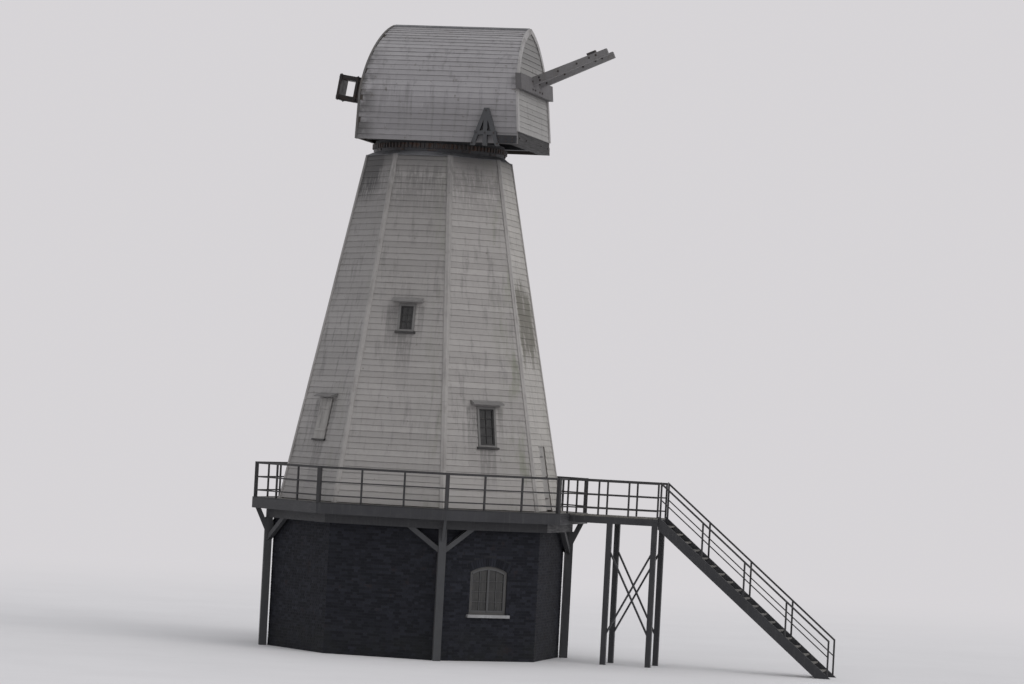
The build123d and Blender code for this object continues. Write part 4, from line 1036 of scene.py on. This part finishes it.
def sash(stack, place, up, wide, high, back_of, front_of, columns, panes):
    """A sash with its bars. The width and height are those of the clear opening inside the frame."""
    side, low, top = wide / 2, up - high / 2, up + high / 2
    for a, b in ((-side, SASH - side), (side - SASH, side)):
        bar(stack, place, (low, top), (a, b), (back_of, front_of), upright=True)
    for a, b in ((low, low + SASH * 1.4), (top - SASH, top)):
        bar(stack, place, (a, b), (SASH - side, side - SASH), (back_of, front_of - RAIL_BACK))
    for index in range(1, columns):
        middle = SASH - side + (wide - 2 * SASH) * index / columns
        bar(stack, place, (low + SASH, top - SASH), around(middle, BAR / 2), (back_of, front_of - UPRIGHT_BACK),
            upright=True)
    for index in range(1, panes):
        middle = low + SASH + (high - 2 * SASH) * index / panes
        bar(stack, place, around(middle, BAR / 2), (SASH - side, side - SASH), (back_of, front_of - LEVEL_BACK))


joinery, grey_work, shutters = new_stack(), new_stack(), new_stack()
for angle, (up, wide, high), panes in (
    [(angle, UPPER_WINDOW, 3) for angle in (0, 180)] + [(angle, LOWER_WINDOW, 4) for angle in (45, 135, 225, 315)]
):
    place = smock_wall(angle)
    sash(joinery, place, up, wide - 2 * FRAME_FACE, high - 2 * FRAME_FACE, -0.024, 0.006, 2, panes)
    if angle in (135, 315):
        half, tall = wide / 2 + SHUTTER_OVER, high / 2 + SHUTTER_OVER
        pitch = 2 * half / SHUTTER_BOARDS
        for index in range(SHUTTER_BOARDS):
            left = -half + pitch * index
            bar(shutters, place, around(up, tall), (left + 0.001, left + pitch - 0.001), (0.040, 0.060), upright=True)
        for ledge in (-0.3, 0.3):
            bar(shutters, place, around(up + ledge, 0.04), around(0, half - 0.01), (0.058, 0.074), 0.004)
    low = up - high / 2
    sill = ((-0.045, -BURIED), (-0.045, 0.082, 1), (-0.020, 0.086, 1), (0.012, 0.041), (0.012, -BURIED))
    add_solid(joinery, place, [[(low + lift, side, out, *edge) for lift, out, *edge in sill]
                               for side in around(0, wide / 2 + 0.05)])
make_piece(joinery, "smock_window_sashes", "tower", dark_joinery, "joinery_paint")
make_piece(shutters, "front_window_shutters", "tower", door_white, "white_boards")

CLEAR, CLEAR_FOOT, BACK, FACE = BASE_WINDOW[1] - FRAME_FACE, BASE_WINDOW[2] + FRAME_FACE, -0.054, -0.026
inner_arc = ARCH_RADIUS - FRAME_FACE
arc_end = math.asin(CLEAR / inner_arc)
for angle in (45, 225):
    place = base_wall(angle)
    level_along = (SASH - CLEAR, CLEAR - SASH)
    for left, right in ((-CLEAR, SASH - CLEAR), (CLEAR - SASH, CLEAR)):
        bar(grey_work, place, (CLEAR_FOOT, arch_level(CLEAR, inner_arc)), (left, right), (BACK, FACE), upright=True)
    bar(grey_work, place, (CLEAR_FOOT, CLEAR_FOOT + 0.05), level_along, (BACK, FACE - RAIL_BACK))
    for along, wide, foot, proud in (
        (0, 0.06, 0, 0.006), (-0.255, BAR, 0.04, -UPRIGHT_BACK), (0.255, BAR, 0.04, -UPRIGHT_BACK)
    ):
        bar(grey_work, place, (CLEAR_FOOT + foot, arch_level(along, inner_arc) - 0.01), around(along, wide / 2),
            (BACK, FACE + proud), upright=True)
    for level in (1.57, 1.84, 2.11):
        bar(grey_work, place, around(level, BAR / 2), level_along, (BACK, FACE - LEVEL_BACK))
    add_solid(grey_work, place, [
        [(ARCH_CENTRE + r * math.cos(turn), r * math.sin(turn), out) for r, out in (
            (inner_arc - SASH, BACK), (inner_arc - SASH, FACE), (inner_arc, FACE), (inner_arc, BACK))]
        for turn in np.linspace(-arc_end, arc_end, 19)])
make_piece(grey_work, "base_window_sashes", "tower", grey_joinery, "joinery_paint")

# %% [markdown]
# ## Doors
# Both doors are planks on the frame's leaf, with strap hinges and a ring handle. The one onto the stage is painted as
# pale as the boards round it, the one in the base dark. The base's door has a stone threshold.

# %% Doors
PLANK, PLANK_GAP, PLANK_PROUD, LEAF_FACE, HANDLE_IN = 0.125, 0.004, 0.016, -0.03, 0.12
BASE_DOOR = (base_wall(180), 0.99, (0.06, DOOR_HEAD), (0.42, 1.78))
STAGE_DOOR = (smock_wall(90), 0.75, (0.045, DOOR_HEIGHT), (0.36, 1.5))

for name, finish, slot, (place, wide, (low, high), _) in (
    ("base_door_planks", door_paint, "door_paint", BASE_DOOR),
    ("stage_door_planks", door_white, "white_boards", STAGE_DOOR),
):
    planks, count = new_stack(), round(wide / PLANK)
    for index in range(count):
        left = -wide / 2 + index * wide / count + PLANK_GAP / 2
        bar(planks, place, (low + PLANK_GAP, high - PLANK_GAP), (left, left + wide / count - PLANK_GAP),
            (LEAF_FACE - BURIED, LEAF_FACE + PLANK_PROUD + random.uniform(-0.001, 0.001)), CHAMFER, upright=True)
    make_piece(planks, name, "tower", finish, slot)
ironwork, threshold = new_stack(), new_stack()
for place, wide, _, levels in (BASE_DOOR, STAGE_DOOR):
    for level in levels:
        add_solid(ironwork, place, [
            [(level + side * half, along, out) for side, out in ((-1, -0.016), (-1, -0.009), (1, -0.009), (1, -0.016))]
            for along, half in ((-wide / 2, 0.028), (wide * 0.05, 0.02), (wide * 0.3, 0.004))])
    add_solid(ironwork, place, [
        [(sum(levels) / 2 + r * s, wide / 2 - HANDLE_IN + r * c, out)
         for r, out in ((0.038, -0.014), (0.038, -0.002), (0.050, -0.002), (0.050, -0.014))]
        for c, s in circle(20)], closed=True)
bar(threshold, base_wall(180), (0.0, 0.058), (-0.498, 0.498), (-BURIED, 0.07), 0.008)
make_piece(threshold, "door_threshold", "tower", sill_stone, "pale_stone")

# %% [markdown]
# ## Deck boards
# The stage's boards run round the mill, mitred over the corner joists. They replace the frame's plain deck, and so do
# the boards laid across the landing.

# %% Deck boards
DECK_EDGE, DECK_THICK, DECK_GAP, DECK_ROWS, DECK_SUNK, DECK_FLAT = 4.278, 0.040, 0.007, 5, (-0.003, -0.0005), 0.03
DECK_BUTT, DECK_MITRE, DECK_CLEAR = 0.002, 0.003, 0.004
LANDING_START, LANDING_END, LANDING_HALF, LANDING_BOARD, LANDING_RAGGED = 4.284, 6.698, 0.61, 0.135, 0.008

deck, nosing, landing = new_stack(), new_stack(), new_stack()
inner = SMOCK_FOOT + CORNER_PROUD + DECK_CLEAR
pitch = (DECK_EDGE - inner) / DECK_ROWS
for angle in SIDES:
    for row in range(DECK_ROWS):
        outer_row = row == DECK_ROWS - 1
        near = inner + row * pitch + DECK_GAP / 2
        far = inner + (row + 1) * pitch - (0 if outer_row else DECK_GAP / 2)
        joint = random.uniform(-near * EIGHTH * 0.6, near * EIGHTH * 0.6)
        for start, end in ((None, joint), (joint, None)):
            lift = random.uniform(*DECK_SUNK)
            section = ((near, -DECK_THICK, 0), (near, lift - CHAMFER, 1), (near + CHAMFER, lift, 1),
                       (near + DECK_FLAT, lift, 0), (far - DECK_FLAT, lift, 0), (far - CHAMFER, lift, 1),
                       (far, lift - CHAMFER, 1), (far, -DECK_THICK, 0))
            rings = []
            for share in (0, 0.25, 0.5, 0.75, 1):
                ring = []
                for reach, out, edge in section:
                    limit = reach * EIGHTH - DECK_MITRE
                    first = -limit if start is None else start + DECK_BUTT
                    last = limit if end is None else end - DECK_BUTT
                    ring.append((reach, first + (last - first) * share, out, edge))
                rings.append(ring)
            add_solid(nosing if outer_row else deck, deck_side(angle), rings)
make_piece(deck, "deck_boards", "tower", deck_wood, "weathered_deck", "stage_deck")
make_piece(nosing, "deck_nosing", "tower", tar_fittings, "black_timber")

count = round((LANDING_END - LANDING_START) / LANDING_BOARD)
pitch = (LANDING_END - LANDING_START) / count
for index in range(count):
    near = LANDING_START + index * pitch + 0.003
    bar(landing, lambda up, along, out: (along, up, STAGE + out), (near, near + pitch - 0.006),
        (-LANDING_HALF + random.uniform(0, LANDING_RAGGED), LANDING_HALF - random.uniform(0, LANDING_RAGGED)),
        (-DECK_THICK, random.uniform(*DECK_SUNK)), CHAMFER)
make_piece(landing, "landing_boards", "tower", deck_wood, "weathered_deck", "landing_deck")

# %% [markdown]
# ## Ironwork on the tower
# Hexagon-headed bolts on round washers hold the stage's timbers together. Each is drawn as rings stacked outward from
# the timber. Flat plates with two bolts each hold the curb.

# %% Bolts and plates of the stage and the curb
def bolt(stack, centre, outward, size=0.022):
    """A washer and a hexagon head on a surface, facing outward."""
    away = Vector(outward).normalized()
    across = away.orthogonal().normalized()
    other = away.cross(across)
    turn = random.uniform(0, math.pi / 3)
    for sides, steps in ((16, ((size * 1.55, -0.004), (size * 1.55, size * 0.18), (size * 1.45, size * 0.28))),
                         (6, ((size, size * 0.2), (size, size * 0.85), (size * 0.82, size * 1.05)))):
        add_solid(stack, lambda up, along, out: Vector(centre) + across * up + other * along + away * out,
                  [[(reach * s, reach * c, out) for c, s in circle(sides, turn)] for reach, out in steps])


POST_REACH, POST_HALF, FACE_BOLTS, SIDE_BOLT = 4.1494, 0.10, (3.18, 3.36), 2.98
PLATE_LOW, PLATE_HIGH, PLATE_HALF, PLATE_BOLTS, PLATE_PROUD = 13.548, 13.606, 0.13, (-0.09, 0.09), 0.010
for angle in (22.5, 112.5, 202.5, 292.5):
    out_way, side_way = (Vector((*way, 0)) for way in facing(angle))
    for level in FACE_BOLTS:
        bolt(ironwork, on_side(angle, POST_REACH + POST_HALF, 0, level), out_way)
    for side in (-1, 1):
        bolt(ironwork, on_side(angle, POST_REACH, side * POST_HALF, SIDE_BOLT), side_way * side, 0.018)
for angle in np.arange(7.5, 360, 30):
    def curb_place(up, along, out, angle=angle):
        return on_side(angle, CURB_OUT + out, along, up)
    bar(ironwork, curb_place, (PLATE_LOW, PLATE_HIGH), around(0, PLATE_HALF), (-0.004, PLATE_PROUD), 0.002)
    for along in PLATE_BOLTS:
        bolt(ironwork, curb_place((PLATE_LOW + PLATE_HIGH) / 2, along, PLATE_PROUD), (*facing(angle)[0], 0), 0.014)
make_piece(ironwork, "door_and_stage_iron", "tower", dark_iron, "iron")

# %% [markdown]
# ## Ironwork on the cap and the poll end
# Bolts hold the fan's spars, their cross timber, the tail beam, the corner timbers and the winding bracket. The iron
# poll end has bolts at the corners of its mortices, thin ribs along its sides, and a boss on its face.

# %% Bolts of the cap, the spars and the poll end
SPAR_RISE, SPAR_OFFSET, SPAR_HALF_WIDTH, SPAR_ROOT = math.radians(23.6), 0.43, 0.075, 1.76
SPAR_BOLTS = ((0.35, 0.04), (0.35, -0.04), (0.9, 0.0), (1.45, 0.0), (1.82, 0.02), (2.02, 0.02))
BRACKET_BOLTS = ((1.75, 0.86), (1.75, 0.26), (1.51, 0.26), (1.99, 0.26), (1.40, -0.02), (2.10, -0.02))
TIMBER_BOLT_IN, TIMBER_PROUD = 0.1, 0.16
TAIL_FACING, BRACKET_FACE = (0, 1, 0.09), 2.14
SHAFT_TILT = math.radians(8)
POLL_Y, POLL_HEIGHT, POLL_FACE, POLL_SIDE = -2.385, 1.46, 0.515, 0.35


def inclined(turn, sign):
    """The way along a timber or shaft that rises towards the tail (1) or the front (-1), and the way up from it."""
    return Vector((0, sign * math.cos(turn), math.sin(turn))), Vector((0, -sign * math.sin(turn), math.cos(turn)))


cap_iron, shaft_iron = new_stack(), new_stack()
spar_foot = Vector((0, tail_y(SPAR_ROOT), CAP_EDGE + SPAR_ROOT))
spar_way, spar_up = inclined(SPAR_RISE, 1)
for side in (-1, 1):
    for face in (-1, 1):
        flank = Vector((side * SPAR_OFFSET + face * SPAR_HALF_WIDTH, 0, 0))
        for along, lift in SPAR_BOLTS:
            bolt(cap_iron, spar_foot + flank + spar_way * along + spar_up * lift, (face, 0, 0), 0.018)
    for shift in (-0.16, 0.16):
        for low in (TIMBER_LOW + TIMBER_BOLT_IN, TIMBER_HIGH - TIMBER_BOLT_IN):
            bolt(cap_iron, (side * SPAR_OFFSET + shift, tail_y(low) + TIMBER_PROUD, CAP_EDGE + low), TAIL_FACING)
    for y in (2.12, 2.33, 2.50):
        for height in (0.05, 0.15):
            x, z, nx, nz = section_at(height)
            bolt(cap_iron, (side * (x + nx * CORNER_TIMBER), y, CAP_EDGE + z + nz * CORNER_TIMBER), (side * nx, 0, nz),
                 0.018)
for x in (-1.75, -0.9, 0.9, 1.75):
    bolt(cap_iron, (x, tail_y(TAIL_BEAM / 2), CAP_EDGE + TAIL_BEAM / 2), TAIL_FACING)
for y, height in BRACKET_BOLTS:
    bolt(cap_iron, (BRACKET_FACE, y, CAP_EDGE + height), (1, 0, 0), 0.016)
make_piece(cap_iron, "cap_iron", "cap", dark_iron, "iron")

poll = Vector((0, POLL_Y, CAP_EDGE + POLL_HEIGHT))
shaft_way, shaft_up = inclined(SHAFT_TILT, -1)
shaft_side = Vector((1, 0, 0))
poll_face = poll + shaft_way * POLL_FACE
for out, aside in ((shaft_up, shaft_side), (-shaft_up, shaft_side), (shaft_side, shaft_up), (-shaft_side, shaft_up)):
    for along in (-0.48, 0.0, 0.48):
        for across in (-0.29, 0.29):
            bolt(shaft_iron, poll + shaft_way * along + aside * across + out * POLL_SIDE, out, 0.019)
    for across in (-0.24, 0.24):
        for low, high in ((-0.44, -0.04), (0.04, 0.44)):
            rib = [[tuple(poll + shaft_way * along + aside * (across + shift) + out * reach) for shift, reach in (
                (-0.018, 0.305), (-0.013, 0.345), (0.013, 0.345), (0.018, 0.305))] for along in (low, high)]
            add_solid(shaft_iron, lambda *spot: spot, rib)
boss = [[(r * s, r * c, out) for c, s in circle(32)] for r, out in (
    (0.17, -0.01), (0.17, 0.02), (0.15, 0.03), (0.075, 0.035), (0.070, 0.075), (0.055, 0.085))]
add_solid(shaft_iron, lambda up, along, out: poll_face + shaft_side * along + shaft_up * up + shaft_way * out, boss)
for side, lift in ((-1, -1), (-1, 1), (1, -1), (1, 1)):
    bolt(shaft_iron, poll_face + shaft_side * side * 0.27 + shaft_up * lift * 0.27, shaft_way, 0.024)
make_piece(shaft_iron, "poll_end_iron", "windshaft", black_iron, "iron")

# %% [markdown]
# ## Finishes for the carpenter's own pieces
# What shows of the frame keeps its shape and gets a finish that suits its timber, stone or iron.

# %% Assign finishes to the frame's nodes
finishes = {
    mortar: "base_walls_facing base_walls_diagonal",
    paving: "ground_floor",
    sill_stone: "base_window_sills",
    under_boards: "smock_walls_facing smock_walls_diagonal cap_side_right cap_side_left cap_front_gable cap_tail_gable",
    frame_paint: "window_frames",
    hood_paint: "window_hoods",
    lead: "cap_ridge",
    door_core: "base_door stage_door",
    glass: "window_panes",
    tar_upright: "landing_posts landing_braces",
    grey_posts: "stage_posts stage_braces winding_bracket",
    grey_beams: "fan_cross_timber",
    tar_across: "smock_sill stage_joists stage_rim stage_bearer curb cap_ring",
    black_beam: "tail_beam",
    tar_along: "landing_frame stair_strings cap_sheers",
    rail_paint: "stage_corner_posts stage_railing landing_railing stair_railing",
    deck_wood: "stage_deck landing_deck",
    tread_wood: "stair_treads",
    bare_upright: "cant_posts",
    bare_across: "floor_beams lower_floor upper_floor weather_beam tail_bearing_beam spar_anchor_beam",
    dark_shaft: "windshaft",
    spar_paint: "fan_spars",
    iron: "curb_rack neck_bearing tail_bearing fan_bearings",
    black_iron: "poll_end",
}
unfinished = set(nodes)
for finish, names in finishes.items():
    for name in names.split():
        holder = nodes[name]
        if not holder.material_slots:
            holder.data.materials.append(finish)
        for slot in holder.material_slots:
            slot.material = finish
        unfinished.remove(name)
print("Nodes without a finish:", sorted(unfinished))

# %% [markdown]
# ## Light, sky and ground
# The day is overcast and a little brighter from the right. A pale sky lights everything, more from above than from the
# sides, and one very soft lamp adds the brighter side. The camera sees a plain pale background instead of that sky, and
# the ground fades into it.

# %% Light, sky and ground
SKY_SEEN = (0.677, 0.660, 0.680, 1)
SKY_LIGHT = (0.97, 0.98, 1.0, 1)
GROUND_REACH, GROUND_SIDES, GROUND_DROP = 700.0, 96, -0.002
FADE_START, FADE_END = 12.0, 60.0

world = bpy.data.worlds.new("overcast sky")
bpy.context.scene.world = world
world.use_nodes = True
tree = world.node_tree
tree.nodes.clear()
level = ramp(parts(node(tree, "ShaderNodeTexCoord").outputs["Generated"])["Z"], -0.1, 0.9, 0.36, 0.80)
rays = node(tree, "ShaderNodeLightPath").outputs
seen = most(rays["Is Camera Ray"], rays["Is Glossy Ray"], rays["Is Transmission Ray"])
lit = node(tree, "ShaderNodeBackground", {"Color": SKY_LIGHT, "Strength": level}).outputs[0]
shown = node(tree, "ShaderNodeBackground", {"Color": SKY_SEEN, "Strength": 1.0}).outputs[0]
sky = node(tree, "ShaderNodeMixShader", {0: seen, 1: lit, 2: shown}).outputs[0]
node(tree, "ShaderNodeOutputWorld", {"Surface": sky})

lamp = add_object("bright side of the sky", bpy.data.lights.new("bright side of the sky", "SUN"))
lamp.data.energy = 0.85
lamp.data.angle = math.radians(40)
lamp.data.color = (1.0, 0.985, 0.97)
lamp.visible_glossy = False
point_back(lamp, direction(162, 36))

ground_mesh = bpy.data.meshes.new("ground")
ground_mesh.from_pydata([(GROUND_REACH * c, GROUND_REACH * s, GROUND_DROP) for c, s in circle(GROUND_SIDES)], [],
                        [tuple(range(GROUND_SIDES))])
ground = add_object("ground", ground_mesh)
ground_finish, shader, coordinates = start_finish("Pale ground")
tree = ground_finish.node_tree
grit = clouds(coordinates, 25.0)
colour = blend(worn_patches(coordinates, 0.25, 0.2, 0.8), (0.74, 0.73, 0.745), (0.70, 0.69, 0.705))
surface(shader, colour, ramp(grit, 0, 1, 0.85, 0.95), grit, 0.1, 0.003)
away = node(tree, "ShaderNodeVectorMath", {0: coordinates}, operation="LENGTH").outputs["Value"]
rays = node(tree, "ShaderNodeLightPath").outputs
far = times(ramp(away, FADE_START, FADE_END), most(rays["Is Camera Ray"], rays["Is Glossy Ray"]))
glow = node(tree, "ShaderNodeEmission", {"Color": SKY_SEEN, "Strength": 1.0}).outputs[0]
mixed = node(tree, "ShaderNodeMixShader", {0: far, 1: shader.outputs[0], 2: glow}).outputs[0]
fill(tree.nodes["Material Output"], {"Surface": mixed})
ground_mesh.materials.append(ground_finish)
